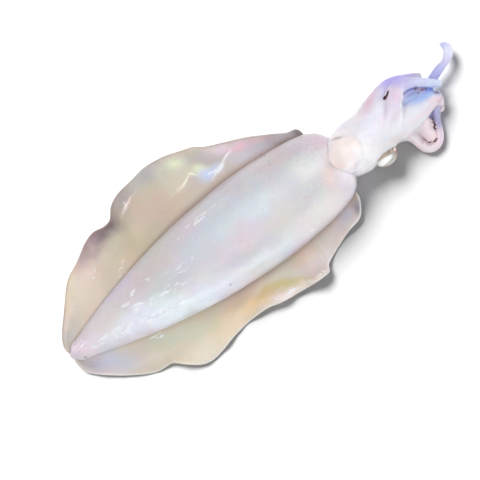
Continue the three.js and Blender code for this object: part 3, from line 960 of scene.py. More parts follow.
@lru_cache(maxsize=None)
def tint_patch():
    """Washes a soft oval patch of another colour over a colour."""
    inputs = {
        "Color": "Color", "Place": "Vector", "Centre": "Vector", "Reach": "Vector", "Turn": 0.0,
        "Tint": "Color", "Strength": 0.5,
    }  # fmt: skip
    tree, board, given, result = new_group("Tint Patch", inputs, {"Color": "Color"})
    turned = board.add(
        "ShaderNodeVectorRotate",
        {"Vector": given["Place"], "Center": given["Centre"], "Angle": given["Turn"]},
        rotation_type="Z_AXIS",
    )
    away = board.vector("SUBTRACT", turned.outputs[0], given["Centre"])
    away = board.vector("LENGTH", board.vector("DIVIDE", away, given["Reach"]))
    fade = board.math("EXPONENT", board.math("MULTIPLY", board.math("POWER", away, 2.0), -1.0))
    share = board.math("MULTIPLY", fade, given["Strength"], clamped=True)
    board.feed(result["Color"], board.mix(share, given["Color"], given["Tint"]))
    return tree


@lru_cache(maxsize=None)
def flecks():
    """Sparse round specks of pigment, each of its own size, in a share of the cells."""
    inputs = {"Place": "Vector", "Spacing": 300.0, "Size": 0.2, "Share": 0.5}
    tree, board, given, result = new_group("Flecks", inputs, {"Mask": "Float"})
    cells = board.add("ShaderNodeTexVoronoi", {"Vector": given["Place"], "Scale": given["Spacing"]})
    chance = board.add("ShaderNodeSeparateColor", {0: cells.outputs["Color"]})
    size = board.math("MULTIPLY", given["Size"], board.math("ADD", chance.outputs[1], 0.3))
    inside = board.math("SUBTRACT", 1.0, board.math("DIVIDE", cells.outputs["Distance"], size), clamped=True)
    kept = board.math("LESS_THAN", chance.outputs[0], given["Share"])
    board.feed(result["Mask"], board.math("MULTIPLY", board.math("SQRT", inside), kept))
    return tree


@lru_cache(maxsize=None)
def pearl():
    """Pale pinks, greens and blues that drift over a colour, as in wet translucent flesh."""
    inputs = {"Color": "Color", "Place": "Vector", "Scale": 40.0, "Strength": 0.3}
    tree, board, given, result = new_group("Pearl", inputs, {"Color": "Color"})
    clouds = board.cloud(given["Place"], given["Scale"], 2.5)["Color"]
    drift = board.vector("SUBTRACT", clouds, (0.5, 0.5, 0.5))
    drift = board.add("ShaderNodeVectorMath", {0: drift, "Scale": given["Strength"]}, operation="SCALE")
    shade = board.vector("ADD", drift.outputs[0], (1.0, 1.0, 1.0))
    board.feed(result["Color"], board.vector("MULTIPLY", given["Color"], shade))
    return tree


@lru_cache(maxsize=None)
def painted_glints():
    """A mask of painted highlight: ragged bright flakes where the film of water catches the light, drawn out
    along the squid.
    """
    inputs = {"Place": "Vector", "Zone": 0.0, "Scale": 420.0}
    tree, board, given, result = new_group("Glints", inputs, {"Mask": "Float"})
    drawn = board.vector("MULTIPLY", given["Place"], (GLINT_STRETCH, 1.0, 1.0))
    bend = board.vector("SUBTRACT", board.cloud(given["Place"], 130.0)["Color"], (0.5, 0.5, 0.5))
    drawn = board.vector("ADD", drawn, board.vector("MULTIPLY", bend, (GLINT_BEND,) * 3))
    ragged = board.cloud(drawn, given["Scale"], 4.0)[0]
    level = board.math("SUBTRACT", GLINT_LEVEL, board.math("MULTIPLY", given["Zone"], GLINT_GAIN))
    above = board.math("MULTIPLY", board.math("SUBTRACT", ragged, level), GLINT_HARDNESS, clamped=True)
    board.feed(result["Mask"], board.math("MULTIPLY", above, given["Zone"], clamped=True))
    return tree


@lru_cache(maxsize=None)
def wet_skin():
    """Relief and gloss of wet flesh: fine grain, soft puckers, and an uneven film of water."""
    inputs = {"Place": "Vector", "Gloss": 0.2, "Unevenness": 0.2}
    tree, board, given, result = new_group("Wet Skin", inputs, {"Height": "Float", "Roughness": "Float"})
    stretched = board.vector("MULTIPLY", given["Place"], (SKIN_STRETCH, 1.0, 1.0))
    puckers, grain = board.cloud(stretched, 140.0, 3.0)[0], board.cloud(stretched, 620.0, 4.0)[0]
    board.feed(result["Height"], board.math("MULTIPLY_ADD", grain, 0.3, puckers))
    film = board.cloud(given["Place"], 70.0, 4.0)[0]
    spread = board.math("MULTIPLY", board.math("SUBTRACT", film, 0.5), given["Unevenness"])
    board.feed(result["Roughness"], board.math("ADD", given["Gloss"], spread, clamped=True))
    return tree


def drifted_place(board, drift):
    """Object coordinates, and the same with their edges pulled about by drift millimetres of noise."""
    place = board.add("ShaderNodeTexCoord").outputs["Object"]
    shift = board.vector("SUBTRACT", board.cloud(place, DRIFT_SCALE)["Color"], (0.5, 0.5, 0.5))
    return place, board.vector("MULTIPLY_ADD", shift, (drift * MM * DRIFT_GAIN,) * 3, place)


def tinted(board, colour, place, patches, height=15, tall=10000):
    """Lays soft patches over a colour, each over those before it: [along, across, reach along, reach across,
    turn, red, green, blue, strength]. A strength over 1 gives a patch a flat middle. They lie round a height
    and reach up and down from it by tall millimetres."""
    for along, across, long, wide, turn, red, green, blue, strength in patches:
        values = {
            "Color": colour,
            "Place": place,
            "Centre": spot(along, across, height),
            "Reach": (long * MM, wide * MM, tall * MM),
            "Turn": math.radians(-turn),
            "Tint": tone(red, green, blue),
            "Strength": strength,
        }
        colour = placed(board, tint_patch(), values)["Color"]
    return colour


def zone(board, place, spots):
    """A mask with soft oval spots: [along, across, reach along, reach across, turn, strength]."""
    rows = [[*row[:5], 255, 255, 255, row[5]] for row in spots]
    mask = tinted(board, (0.0, 0.0, 0.0), place, rows)
    return board.add("ShaderNodeSeparateColor", {0: mask}).outputs[0]


def new_material(name):
    material = bpy.data.materials.new(name)
    material.use_nodes = True
    material.node_tree.nodes.clear()
    return material, Board(material.node_tree)


def mottled(board, cloud, colour, darkest):
    """A colour that a cloud darkens here and there, down to a share of its brightness."""
    return board.mix(cloud, tuple(c * darkest for c in colour), colour)


def specked(board, colour, place, tint, strength, **specks):
    """Specks of a tint scattered over a colour."""
    values = {"Place": place, **{name.title(): value for name, value in specks.items()}}
    return board.wash(placed(board, flecks(), values)["Mask"], strength, colour, tint)


def pearly(board, colour, place, strength):
    """Broad and fine drifts of pearl over a colour."""
    for scale, share in ((36.0, 1), (640.0, 0.4)):
        values = {"Color": colour, "Place": place, "Scale": scale, "Strength": strength * share}
        colour = placed(board, pearl(), values)["Color"]
    return colour


def flesh(board, colour, place, gloss, unevenness, bump, subsurface, scatter, wetness, painted_glint_zone=None):
    """The shader of wet translucent flesh, over a colour of the board, with highlight glints painted in by a
    mask.
    """
    skin = placed(board, wet_skin(), {"Place": place, "Gloss": gloss, "Unevenness": unevenness})
    if painted_glint_zone:
        # Painted highlights: ragged white glint flakes washed into the base colour.
        painted_glint_flakes = placed(board, painted_glints(), {"Place": place, "Zone": painted_glint_zone, "Scale": GLINT_SCALE})["Mask"]
        colour = board.wash(painted_glint_flakes, 0.75, colour, PAINTED_GLINT_COLOUR)
    relief = board.add("ShaderNodeBump", {"Height": skin["Height"], "Strength": bump, "Distance": 0.0012})
    shader = board.add(
        "ShaderNodeBsdfPrincipled",
        {
            "Base Color": colour,
            "Roughness": skin["Roughness"],
            "Normal": relief.outputs[0],
            "IOR": 1.38,
            "Subsurface Weight": subsurface,
            "Subsurface Radius": scatter,
            "Subsurface Scale": 0.004,
            "Coat Weight": wetness,
            "Coat Roughness": 0.18,
            "Coat IOR": 1.3,
        },
        subsurface_method="RANDOM_WALK",
    )
    board.add("ShaderNodeOutputMaterial", {"Surface": shader.outputs[0]})


# Soft patches of colour for each skin, as rows of tinted(): mostly the skin's own tints, with some painted
# highlights, sheen and shade, marked where they stand.
MANTLE_PATCHES = [
    [38, 6, 26, 9, 8, 238, 226, 222, 0.85],
    [60, 7, 18, 6, 4, 226, 220, 220, 0.7],
    [82, 17, 44, 8, 16, 208, 198, 200, 0.75],
    [104, 3, 26, 8, 4, 202, 200, 212, 0.75],
    # Pale blue over the crown: the skin's own tint and partly a painted reflection of the light overhead.
    [148, 12, 36, 10, 6, 208, 216, 221, 0.85],
    [176, 6, 22, 8, 0, 222, 228, 232, 0.7],
    [150, -9, 36, 6, 0, 224, 216, 219, 0.7],
    [176, -10, 14, 9, 0, 222, 213, 208, 0.7],
    # Bluish white along the lower right and the tail: the skin's own pale blue and partly a painted sheen.
    [160, -26, 60, 7, -2, 230, 233, 238, 0.8],
    [64, -10.5, 46, 7, -9, 238, 244, 252, 0.95],
    [86, -20.5, 40, 5, -13, 238, 247, 252, 0.8],
    [36, -3, 16, 4, -10, 234, 234, 240, 0.7],
    [60, -2.5, 20, 4, -8, 238, 242, 248, 0.6],
    [205, 26, 26, 8, -4, 208, 192, 202, 0.9],
    [218, 7, 12, 9, 0, 238, 234, 238, 0.85],
    [223, -6, 9, 7, 20, 242, 216, 214, 0.75],
    [234, -15, 8, 7, 0, 232, 230, 232, 0.85],
    [238.4, -15.4, 4, 6, -30, 246, 242, 246, 0.6],
    # Pale along the collar's lip at the funnel: its own cream and partly painted light that lifts the gap's
    # shade.
    [231.4, -1, 2.2, 9, 0, 250, 234, 230, 0.7],
    [205, -22, 24, 9, 0, 237, 231, 227, 0.85],
    [11, 1, 11, 8, 0, 238, 218, 227, 0.8],
    [6.4, -0.4, 6, 4, 0, 248, 236, 244, 0.85],
    # A thin line of painted shade along the upper edge of the sheen band.
    [70, -12.4, 30, 1.5, -10, 208, 208, 218, 0.45],
    [5, -3.4, 6, 3, 0, 216, 198, 212, 0.6],
]

# Where the mantle is dusted with fine pinkish freckles, and where each skin gets painted highlight glints, as
# rows of soft spots: [along, across, reach along, reach across, turn, strength].
MANTLE_FRECKLES = [
    [205, 25, 34, 9, -4, 1], [228, 14, 12, 16, 0, 0.6], [130, 27, 50, 6, 4, 0.7], [190, -10, 30, 9, 0, 0.5],
]  # fmt: skip

MANTLE_PAINTED_GLINTS = [
    [60, -12, 34, 3.5, -9, 1], [42, -5, 16, 2.5, -10, 0.9], [72, -3, 24, 3, -8, 0.85],
    [60, 9, 14, 3, 10, 0.75], [134, 24, 26, 3, 2, 0.85], [10, 2, 9, 5, 0, 0.85], [196, -30, 22, 3, -6, 0.6],
    [98, 4, 18, 5, 0, 0.65], [66, -1, 18, 3, -24, 1.1], [70, 10.5, 16, 2.4, 6, 0.95],
    [22, -3, 12, 3, -10, 0.95], [74, -14.4, 36, 1.8, -10, 1.1], [92, -4, 12, 3, -10, 0.8],
]  # fmt: skip

LEFT_FIN_PATCHES = [
    [28, 30, 30, 15, 45, 229, 213, 200, 0.9],
    [9, 13, 12, 8, 50, 212, 205, 204, 0.8],
    [42, 25, 16, 6, 40, 234, 218, 200, 0.6],
    [71, 31, 17, 5, 25, 234, 213, 200, 0.7],
    [46, 44, 13, 8, 45, 238, 212, 204, 0.7],
    [92, 36, 34, 9, 14, 204, 186, 164, 0.85],
    [108, 58, 26, 12, 10, 200, 188, 174, 0.7],
    [122, 77, 42, 9, 0, 178, 180, 184, 0.9],
    [95, 71, 14, 8, 40, 166, 158, 160, 0.9],
    # Dark purple in the fold near the rim: the fin's own purple and partly painted shade where the rim dips.
    [63.5, 59, 15.5, 7, 14, 150, 132, 138, 0.95],
    [73, 60, 8.6, 5.4, 10, 118, 98, 106, 0.95],
    [66, 61.6, 9, 3.6, 18, 126, 106, 114, 0.6],
    [61.6, 57.6, 3, 2, 20, 176, 158, 162, 0.55],
    [58.6, 49.6, 5, 3, 20, 182, 160, 164, 0.65],
    [46, 53, 8, 5, 50, 178, 160, 164, 0.8],
    # A thin painted highlight streak.
    [98, 64.8, 8, 1.0, 26, 246, 234, 234, 0.85],
    [143, 66, 14, 7, -12, 208, 212, 200, 0.85],
    [141.5, 66, 6.5, 3.4, -12, 228, 236, 204, 0.9],
    [138, 56, 14, 8, 0, 222, 216, 203, 0.7],
    [142, 43, 18, 5, 6, 216, 204, 192, 0.5],
    [164, 60, 14, 6, -24, 202, 200, 198, 0.8],
    [198, 45, 34, 12, -24, 196, 190, 200, 0.95],
    [182, 43, 13, 6, -16, 210, 206, 214, 0.8],
    [219, 38, 12, 6, -20, 184, 192, 206, 0.9],
    [206, 38, 12, 4, -22, 204, 202, 212, 0.7],
    [226, 34, 8, 7, -20, 128, 130, 138, 0.95],
    [175, 55, 11, 4.5, -22, 228, 212, 226, 0.9],
    [185, 50, 7, 3.6, -24, 238, 192, 204, 0.9],
    [196, 47.5, 6, 2.4, -22, 222, 190, 198, 0.7],
    [155, 53.5, 6, 4, -30, 240, 244, 214, 0.9],
    # A blue white painted highlight, then thin white arcs of painted highlight on the hills of the fin.
    [158, 47.4, 8, 4.4, -8, 206, 220, 252, 0.95],
    [139, 53, 8, 1.0, 10, 254, 248, 226, 0.9],
    [147.5, 53, 4, 0.9, -46, 254, 250, 232, 0.9],
    [164.5, 44.6, 6, 1.1, 13, 250, 252, 255, 0.95],
    [174.5, 48.6, 6, 1.0, 32, 254, 248, 252, 0.95],
]

LEFT_FIN_PAINTED_GLINTS = [
    [159, 46.5, 7, 2.4, 0, 1], [166, 45, 6, 1.4, 16, 0.9], [175, 49, 5, 1.2, 32, 0.9],
    [138, 53, 8, 1.4, 12, 0.8], [94, 64, 8, 2, 38, 0.8], [48, 38, 9, 3, 60, 0.9], [66, 30, 9, 2, 40, 0.8],
    [22, 18, 8, 2, 50, 0.8],
]  # fmt: skip

RIGHT_FIN_PATCHES = [
    [12, -15, 15, 9, -40, 188, 178, 192, 0.95],
    [31, -27, 17, 9, -35, 203, 201, 206, 0.9],
    [22, -19, 10, 6, -40, 206, 206, 226, 0.7],
    [50, -37, 14, 6, -28, 220, 210, 206, 0.6],
    [58, -28, 20, 6, -24, 198, 202, 190, 0.85],
    [78, -36, 14, 7, -10, 210, 206, 190, 0.7],
    [80, -55, 24, 9, 0, 234, 222, 206, 0.9],
    [108, -51, 20, 8, 0, 238, 214, 188, 0.85],
    [124, -41, 16, 6, 4, 206, 184, 156, 0.85],
    [148, -43, 16, 5, 0, 222, 210, 194, 0.75],
    [126, -47.6, 9, 3.4, -2, 236, 204, 160, 0.85],
    [118, -49, 8, 4, -4, 246, 218, 182, 0.7],
    [134, -50, 8, 3, -2, 228, 199, 148, 0.85],
    [165, -50, 7, 3, -20, 208, 204, 206, 0.8],
    [139, -46.8, 9, 3, -4, 208, 184, 134, 0.85],
    [152, -49, 11, 3.2, -18, 204, 188, 130, 0.9],
    [164, -53.4, 9, 2.6, -24, 204, 190, 138, 0.9],
    # Pinkish white along the upturned rim: its own pale edge, and painted light where it turns up to the
    # lights.
    [150, -55.6, 15, 3, -10, 250, 232, 228, 0.95],
    [172, -58.5, 12, 2, -10, 238, 226, 214, 0.85],
    [184, -52, 15, 9, 0, 220, 210, 212, 0.9],
    [189, -50.5, 9, 1.2, 69, 228, 220, 222, 0.45],
    [206, -42, 14, 8, 10, 212, 198, 200, 0.8],
    [181, -57.6, 7, 3, 0, 210, 198, 195, 0.6],
    [219, -37, 7, 6, 0, 192, 192, 208, 0.8],
    [230, -37, 4.5, 9, 0, 134, 138, 150, 0.95],
]

RIGHT_FIN_PAINTED_GLINTS = [
    [58, -25, 12, 2.4, -24, 0.95], [153, -56, 16, 2.4, -10, 1], [178, -59, 10, 1.8, -6, 0.9],
    [108, -52, 12, 2.4, 0, 0.4],
]  # fmt: skip

HEAD_PATCHES = [
    [304, 6.8, 5.5, 3, -10, 196, 204, 246, 0.85],
    [311, -0.6, 13, 3.4, -16, 168, 197, 250, 0.95],
    [318, 0.4, 6, 1.4, -20, 138, 166, 242, 0.85],
    # Painted shade at the foot of an arm's edge in the gap, and a painted highlight along that lit edge.
    [306, 6, 6.5, 1.6, -10, 152, 158, 204, 0.8],
    [309.6, 3.2, 8.5, 0.8, -8, 190, 214, 250, 0.8],
    [313.2, 5.2, 3.4, 1.6, -38, 190, 174, 198, 0.85],
    # Small dark bits deep in the gap between the arms: painted shade, partly the flesh's own red.
    [315.3, 3.7, 1.2, 0.7, -30, 170, 80, 86, 0.9],
    [311.2, 7.2, 1.3, 0.8, -10, 116, 94, 122, 0.85],
    [311.4, 3.6, 0.9, 0.7, 0, 140, 110, 134, 0.8],
    [317.3, 2.4, 1.0, 0.8, 0, 112, 92, 116, 0.85],
    [324.3, 7.2, 1.0, 0.7, 0, 76, 74, 104, 0.85],
    [310.8, -19.4, 2, 5, 16, 164, 166, 196, 0.85],
    # Painted shade along the rounded top edge of the lobe.
    [297.4, 17.9, 3.6, 0.7, -5, 198, 184, 224, 0.6],
    [302.4, 14.9, 3, 0.7, -50, 200, 188, 226, 0.6],
    [297.4, 14.6, 4, 2.2, 0, 228, 208, 222, 0.6],
    [276, 18.4, 12, 3, 28, 226, 186, 200, 0.7],
    [296.5, 11, 6, 4, 50, 220, 208, 228, 0.8],
    [303, 18.6, 7, 3, -24, 190, 182, 232, 0.9],
    # A painted highlight along a ridge, then painted shade in the groove beside it.
    [294, 3.2, 12, 0.9, 48, 254, 252, 254, 0.95],
    [297, 2.6, 9, 0.9, 48, 206, 202, 220, 0.7],
    [295, 10, 4, 2, 46, 234, 208, 220, 0.6],
    [280, 10, 14, 3, 52, 232, 230, 238, 0.7],
    # Painted shade along a groove.
    [286, 11, 8, 0.9, 50, 206, 202, 214, 0.6],
    [254, -6, 7, 10, 30, 254, 253, 255, 0.95],
    # Warm cream round the funnel, brightened as painted light that lifts the shade in the collar's fold.
    [238, 0, 17, 17, 0, 255, 248, 246, 0.95],
    [244, -14, 5, 3, 0, 244, 242, 247, 0.9],
    [266, 2, 14, 8, 0, 242, 242, 250, 0.6],
    [274, 9, 12, 4, 30, 234, 238, 250, 0.8],
    [283, -3, 12, 5, 10, 238, 234, 237, 0.6],
    [266, 11, 8, 3.4, 20, 230, 236, 245, 0.6],
    [275.8, -13.6, 9, 2.5, 0, 232, 212, 206, 0.6],
    [302, 21, 9, 2, -14, 186, 172, 242, 0.6],
    [304, -10.5, 14, 2, -4, 240, 220, 228, 0.6],
    [318, -8.6, 6, 3, -30, 242, 214, 220, 0.7],
    [288, -26, 4, 7, 10, 244, 226, 228, 0.6],
    [259, -17.6, 1.8, 0.6, 16, 150, 134, 138, 0.75],
    [263.4, -18, 1.6, 0.6, 24, 150, 134, 138, 0.7],
    [271, -17, 1.8, 0.6, 20, 168, 146, 150, 0.7],
    [261.6, -16.2, 2.2, 0.7, 16, 255, 240, 242, 0.7],
    # Deep red painted shade in the slit, the loop's crease and the gaps among the curled arms, partly the
    # flesh's red.
    [295.2, -26, 0.7, 3.4, 7, 146, 112, 126, 0.85],
    [296.6, -29.6, 1.6, 0.9, 0, 104, 56, 70, 0.85],
    [307.6, -19.4, 1.6, 3, -18, 120, 104, 118, 0.75],
    [321.4, -4.6, 3.2, 1.7, -38, 112, 100, 130, 0.9],
]

# The funnel's cream fades into the skin around it.
FUNNEL_PATCHES = [
    [242.8, 0.2, 9.4, 9, 0, 248, 235, 231, 3],
    [252, -9, 5, 8, 20, 255, 254, 255, 0.9],
    [241, -9, 8, 4, 10, 252, 247, 247, 0.8],
    [232, -6, 4, 4, -40, 242, 222, 216, 0.8],
    [232, 7, 4, 5, 30, 246, 232, 236, 0.7],
    # A small painted highlight on the dome.
    [242.5, 3.8, 2, 1, 30, 255, 250, 248, 0.9],
]

# Soft shade in the fold beside the funnel, on the funnel and on the head alike.
FUNNEL_SHADES = [
    [243.8, 12.3, 4.6, 0.9, -19, 184, 170, 172, 0.85],
    [243, -12.6, 4.5, 1, 26, 222, 218, 222, 0.7],
    [259, -4.8, 3, 1.1, -50, 222, 228, 232, 0.5],
    [229, -3, 1.6, 5, 0, 222, 194, 188, 0.6],
]

# Silver on the tail's side of the eye's upper face, partly a painted reflection, gold brown towards the arms,
# a pale glassy edge, and a small painted highlight.
EYE_TOP = 21
EYE_PATCH_DEPTH = 5
EYE_PATCHES = [
    [266, -24.8, 9, 2.2, 0, 194, 192, 186, 0.95],
    [272.6, -20.8, 3.6, 2.8, 20, 144, 122, 104, 0.9],
    [267.8, -17.6, 5.4, 2.4, 0, 106, 88, 94, 0.95],
    [274.4, -18.8, 1.6, 3.2, 20, 118, 92, 76, 0.85],
    # A small pale pink painted highlight, and a white strip of silver that is partly a painted reflection.
    [273, -18.4, 1.1, 0.7, 40, 255, 224, 216, 2.4],
    [261.6, -21.2, 3.3, 0.96, 3, 255, 255, 255, 40.0],
    [261, -16.8, 5.6, 0.8, 6, 132, 114, 114, 0.9],
]


def mantle_material(skin):
    material, board = new_material("mantle_skin")
    place, drifted = drifted_place(board, 4)
    colour = mottled(board, board.cloud(drifted, 38.0, 4.0)[0], skin.mantle_colour, 0.93)
    colour = pearly(board, colour, drifted, skin.pearl)
    colour = tinted(board, colour, drifted, MANTLE_PATCHES)
    colour = pearly(board, colour, drifted, skin.pearl * 0.45)
    colour = specked(board, colour, place, skin.fleck_colour, 0.22, spacing=460.0, size=0.24, share=0.3)
    colour = specked(board, colour, drifted, skin.fleck_colour, 0.7, spacing=95.0, size=0.09, share=0.22)
    dusted = board.math("MULTIPLY", zone(board, place, MANTLE_FRECKLES), 0.5)
    colour = specked(board, colour, drifted, skin.freckle_colour, dusted, spacing=640.0, size=0.42, share=0.6)
    # Painted shade along the hem where the mantle meets the fins.
    colour = board.wash(board.noted("hem"), 0.8, colour, skin.hem_shade_colour)
    flesh(
        board, colour, place, gloss=0.34, unevenness=0.35, bump=0.46,
        subsurface=0.45, scatter=(1.0, 0.6, 0.5), wetness=skin.wetness,
        painted_glint_zone=zone(board, place, MANTLE_PAINTED_GLINTS),
    )  # fmt: skip
    return material


def fin_material(skin, name, rim_colour, patches, painted_glint_spots):
    material, board = new_material(name)
    place, drifted = drifted_place(board, 3)
    mottle = board.cloud(drifted, 30.0, 5.0)[0]
    colour = mottled(board, mottle, skin.fin_colour, 0.94)
    colour = pearly(board, colour, drifted, skin.pearl)
    colour = tinted(board, colour, drifted, patches)
    colour = pearly(board, colour, drifted, skin.pearl * 0.6)
    broken = board.math("MULTIPLY_ADD", mottle, 2.4, -0.4)
    rim = board.math("MULTIPLY", board.noted("rim"), broken, clamped=True)
    # The rim colour: on the left fin its own dark edge; on the right a pale edge that is partly painted
    # light.
    colour = board.wash(rim, 0.7, colour, rim_colour)
    # Painted shade in the crease where the fin leaves the mantle.
    colour = board.wash(board.noted("crease"), 0.75, colour, skin.crease_shade_colour)
    colour = specked(board, colour, place, skin.fleck_colour, 0.2, spacing=380.0, size=0.22, share=0.2)
    flesh(
        board, colour, place, gloss=0.36, unevenness=0.3, bump=0.3,
        subsurface=0.5, scatter=(1.0, 0.7, 0.5), wetness=skin.wetness,
        painted_glint_zone=zone(board, place, painted_glint_spots),
    )  # fmt: skip
    return material


def arm_material(skin):
    material, board = new_material("arm_skin")
    place, drifted = drifted_place(board, 1)
    shade = board.mix(board.cloud(place, 90.0, 4.0)[0], (0.9, 0.9, 0.92), (1, 1, 1))
    colour = board.mix(1.0, board.noted("flush", "Color"), shade, "MULTIPLY")
    colour = tinted(board, colour, drifted, HEAD_PATCHES)
    colour = pearly(board, colour, drifted, skin.pearl * 0.55)
    colour = tinted(board, colour, drifted, FUNNEL_SHADES)
    colour = specked(board, colour, drifted, skin.fleck_colour, 0.35, spacing=240.0, size=0.12, share=0.12)
    # Painted shade in the gaps and hollows between the arms, partly the flesh's own deep red.
    colour = board.wash(board.noted("gap"), 0.88, colour, skin.gap_shade_colour)
    flesh(
        board, colour, place, gloss=0.26, unevenness=0.3, bump=0.5,
        subsurface=0.45, scatter=(1.0, 0.7, 0.7), wetness=skin.wetness,
    )  # fmt: skip
    return material


def funnel_material(skin):
    material, board = new_material("funnel_skin")
    place, drifted = drifted_place(board, 2)
    colour = mottled(board, board.cloud(drifted, 70.0, 4.0)[0], skin.funnel_colour, 0.95)
    colour = tinted(board, colour, drifted, FUNNEL_PATCHES)
    colour = pearly(board, colour, drifted, skin.pearl * 0.35)
    colour = tinted(board, colour, drifted, FUNNEL_SHADES)
    flesh(
        board, colour, place, gloss=0.26, unevenness=0.25, bump=0.24,
        subsurface=0.08, scatter=(1.0, 0.6, 0.5), wetness=skin.wetness,
    )  # fmt: skip
    return material


def sucker_material(skin):
    material, board = new_material("sucker_skin")
    place = drifted_place(board, 1)[0]
    colour = mottled(board, board.cloud(place, 240.0, 3.0)[0], skin.sucker_colour, 0.88)
    colour = board.wash(board.noted("ring"), 0.4, colour, skin.cup_colour)
    flesh(
        board, colour, place, gloss=0.24, unevenness=0.2, bump=0.1,
        subsurface=0.05, scatter=(1.0, 0.6, 0.5), wetness=skin.wetness,
    )  # fmt: skip
    return material


# Bands round the eye's axis, from the middle of the pupil: [share of the half turn, (red, green, blue)].
EYE_BANDS = [
    (0.0, (4, 5, 8)), (0.155, (8, 8, 12)), (0.175, (130, 96, 56)), (0.22, (196, 164, 112)),
    (0.265, (206, 196, 176)), (0.3, (150, 138, 118)), (0.335, (190, 196, 182)), (0.4, (214, 218, 208)),
    (0.46, (226, 224, 214)), (0.54, (196, 168, 134)), (0.66, (150, 112, 84)), (1.0, (120, 88, 70)),
]  # fmt: skip


def eye_material(skin):
    """Bands round the eye's axis: black pupil, gold brown iris with fine rays, dark rim and silver white."""
    material, board = new_material("eyeball")
    place = board.add("ShaderNodeTexCoord").outputs["Object"]
    around = board.math("MULTIPLY", board.noted("spin"), 40.0)
    rays = board.add("ShaderNodeTexNoise", {"W": around, "Detail": 4.0}, noise_dimensions="1D").outputs[0]
    cloud = board.cloud(place, 320.0, 4.0)[0]
    bands = board.add("ShaderNodeValToRGB", {0: board.math("MULTIPLY_ADD", cloud, 0.04, board.noted("gaze"))})
    ramp = bands.color_ramp
    while len(ramp.elements) < len(EYE_BANDS):
        ramp.elements.new(0.5)
    for element, (at, rgb) in zip(ramp.elements, EYE_BANDS):
        element.position = at
        element.color = (*tone(*rgb), 1)
    streak = board.math("MULTIPLY", board.math("SUBTRACT", rays, 0.35), 0.5, clamped=True)
    colour = board.mix(streak, bands.outputs[0], skin.iris_colour)
    colour = tinted(board, colour, place, EYE_PATCHES, EYE_TOP, EYE_PATCH_DEPTH)
    inputs = {
        "Base Color": colour, "Roughness": board.math("MULTIPLY_ADD", cloud, 0.1, 0.06), "IOR": 1.38,
        "Coat Weight": 1.0, "Coat Roughness": 0.03, "Subsurface Weight": 0.1, "Subsurface Scale": 0.002,
    }  # fmt: skip
    shader = board.add("ShaderNodeBsdfPrincipled", inputs)
    board.add("ShaderNodeOutputMaterial", {"Surface": shader.outputs[0]})
    return material


# ---- Properties ----


def colour_property(label, note, red, green, blue):
    default = tone(red, green, blue)
    return FloatVectorProperty(
        name=label, description=note, subtype="COLOR", size=3, min=0, max=1, default=default
    )


def amount(label, note, default, least=0, **kind):
    return FloatProperty(name=label, description=note, default=default, min=least, **kind)


class SquidForm(bpy.types.PropertyGroup):
    tail_folds: amount("Tail Folds", "Depth in millimetres of the small folds at the tail tip", 0.9)
    fin_ripple: amount("Fin Ripple", "Height in millimetres of the flutter of the fins' rims", 1.1)
    voxel: amount("Arm Detail", "Size in millimetres of the cells that fuse the arms", 0.6, 0.4)
    relaxing: IntProperty(
        name="Arm Softness", default=40, min=0, description="Rounds of smoothing where arms run together"
    )


class SquidSkin(bpy.types.PropertyGroup):
    mantle_colour: colour_property("Mantle", "Colour of the mantle before its patches", 214, 209, 216)
    fin_colour: colour_property("Fins", "Colour of the fins before their patches", 212, 197, 180)
    left_rim_colour: colour_property("Left Fin Rim", "Colour of the left fin's outer edge", 138, 132, 136)
    # Partly painted light: the right rim's pale colour also stands for the light on its upturned edge.
    right_rim_and_sheen_colour: colour_property("Right Fin Rim", "Colour of the right fin's outer edge", 240, 234, 230)
    # Painted shade: the hem colour darkens the mantle where it meets the fins.
    hem_shade_colour: colour_property("Hem Shade", "Colour of the mantle where it meets the fins", 170, 148, 148)
    freckle_colour: colour_property("Freckles", "Colour of the mantle's fine freckles", 172, 132, 150)
    # Painted shade: the crease colour darkens the fins where they leave the mantle.
    crease_shade_colour: colour_property("Crease Shade", "Colour where the fins leave the mantle", 158, 136, 128)
    fleck_colour: colour_property("Flecks", "Colour of the specks of pigment", 96, 70, 84)
    # Painted shade: the deep red laid into the gaps and hollows between the arms.
    gap_shade_colour: colour_property("Gap Shade", "Colour deep in the gaps between the arms", 104, 56, 68)
    head_colour: colour_property("Head", "Colour of the head behind the arms", 236, 232, 238)
    funnel_colour: colour_property("Funnel", "Colour of the funnel's edge", 240, 232, 236)
    sucker_colour: colour_property("Suckers", "Colour of the suckers' rings", 236, 222, 224)
    cup_colour: colour_property("Cups", "Colour inside the suckers' cups", 184, 142, 150)
    iris_colour: colour_property("Iris", "Colour of the rays of the iris", 178, 136, 84)
    pearl: amount("Pearl", "Strength of the drifting pale hues", 0.28, subtype="FACTOR", max=1)
    wetness: amount("Wetness", "Strength of the film of water", 0.35, subtype="FACTOR", max=1)


class SquidStage(bpy.types.PropertyGroup):
    floor_size: amount("Floor", "Side of the floor", 6.0, 1, unit="LENGTH")
    floor_colour: colour_property("Floor Colour", "Colour of the floor", 246, 246, 246)
    softbox_power: amount("Softbox", "Watts of the light overhead", 15.5)
    window_power: amount("Window", "Watts of the low light by the tail", 1.3)
    near_power: amount("Near Window", "Watts of the broad light below it", 1.8)
    far_power: amount("Far Window", "Watts of the low light on the left", 2.5)
    side_power: amount("Side Window", "Watts of the low light by the arms", 4.0)
    sun_strength: amount("Sun", "Strength of the light that shades the floor", 4.3)
    world_strength: amount("Room", "Strength of the white room", 0.25)
    view_width: amount("View Width", "Width seen at the squid", 0.3418, 0.05, unit="LENGTH")


# ---- Operators ----


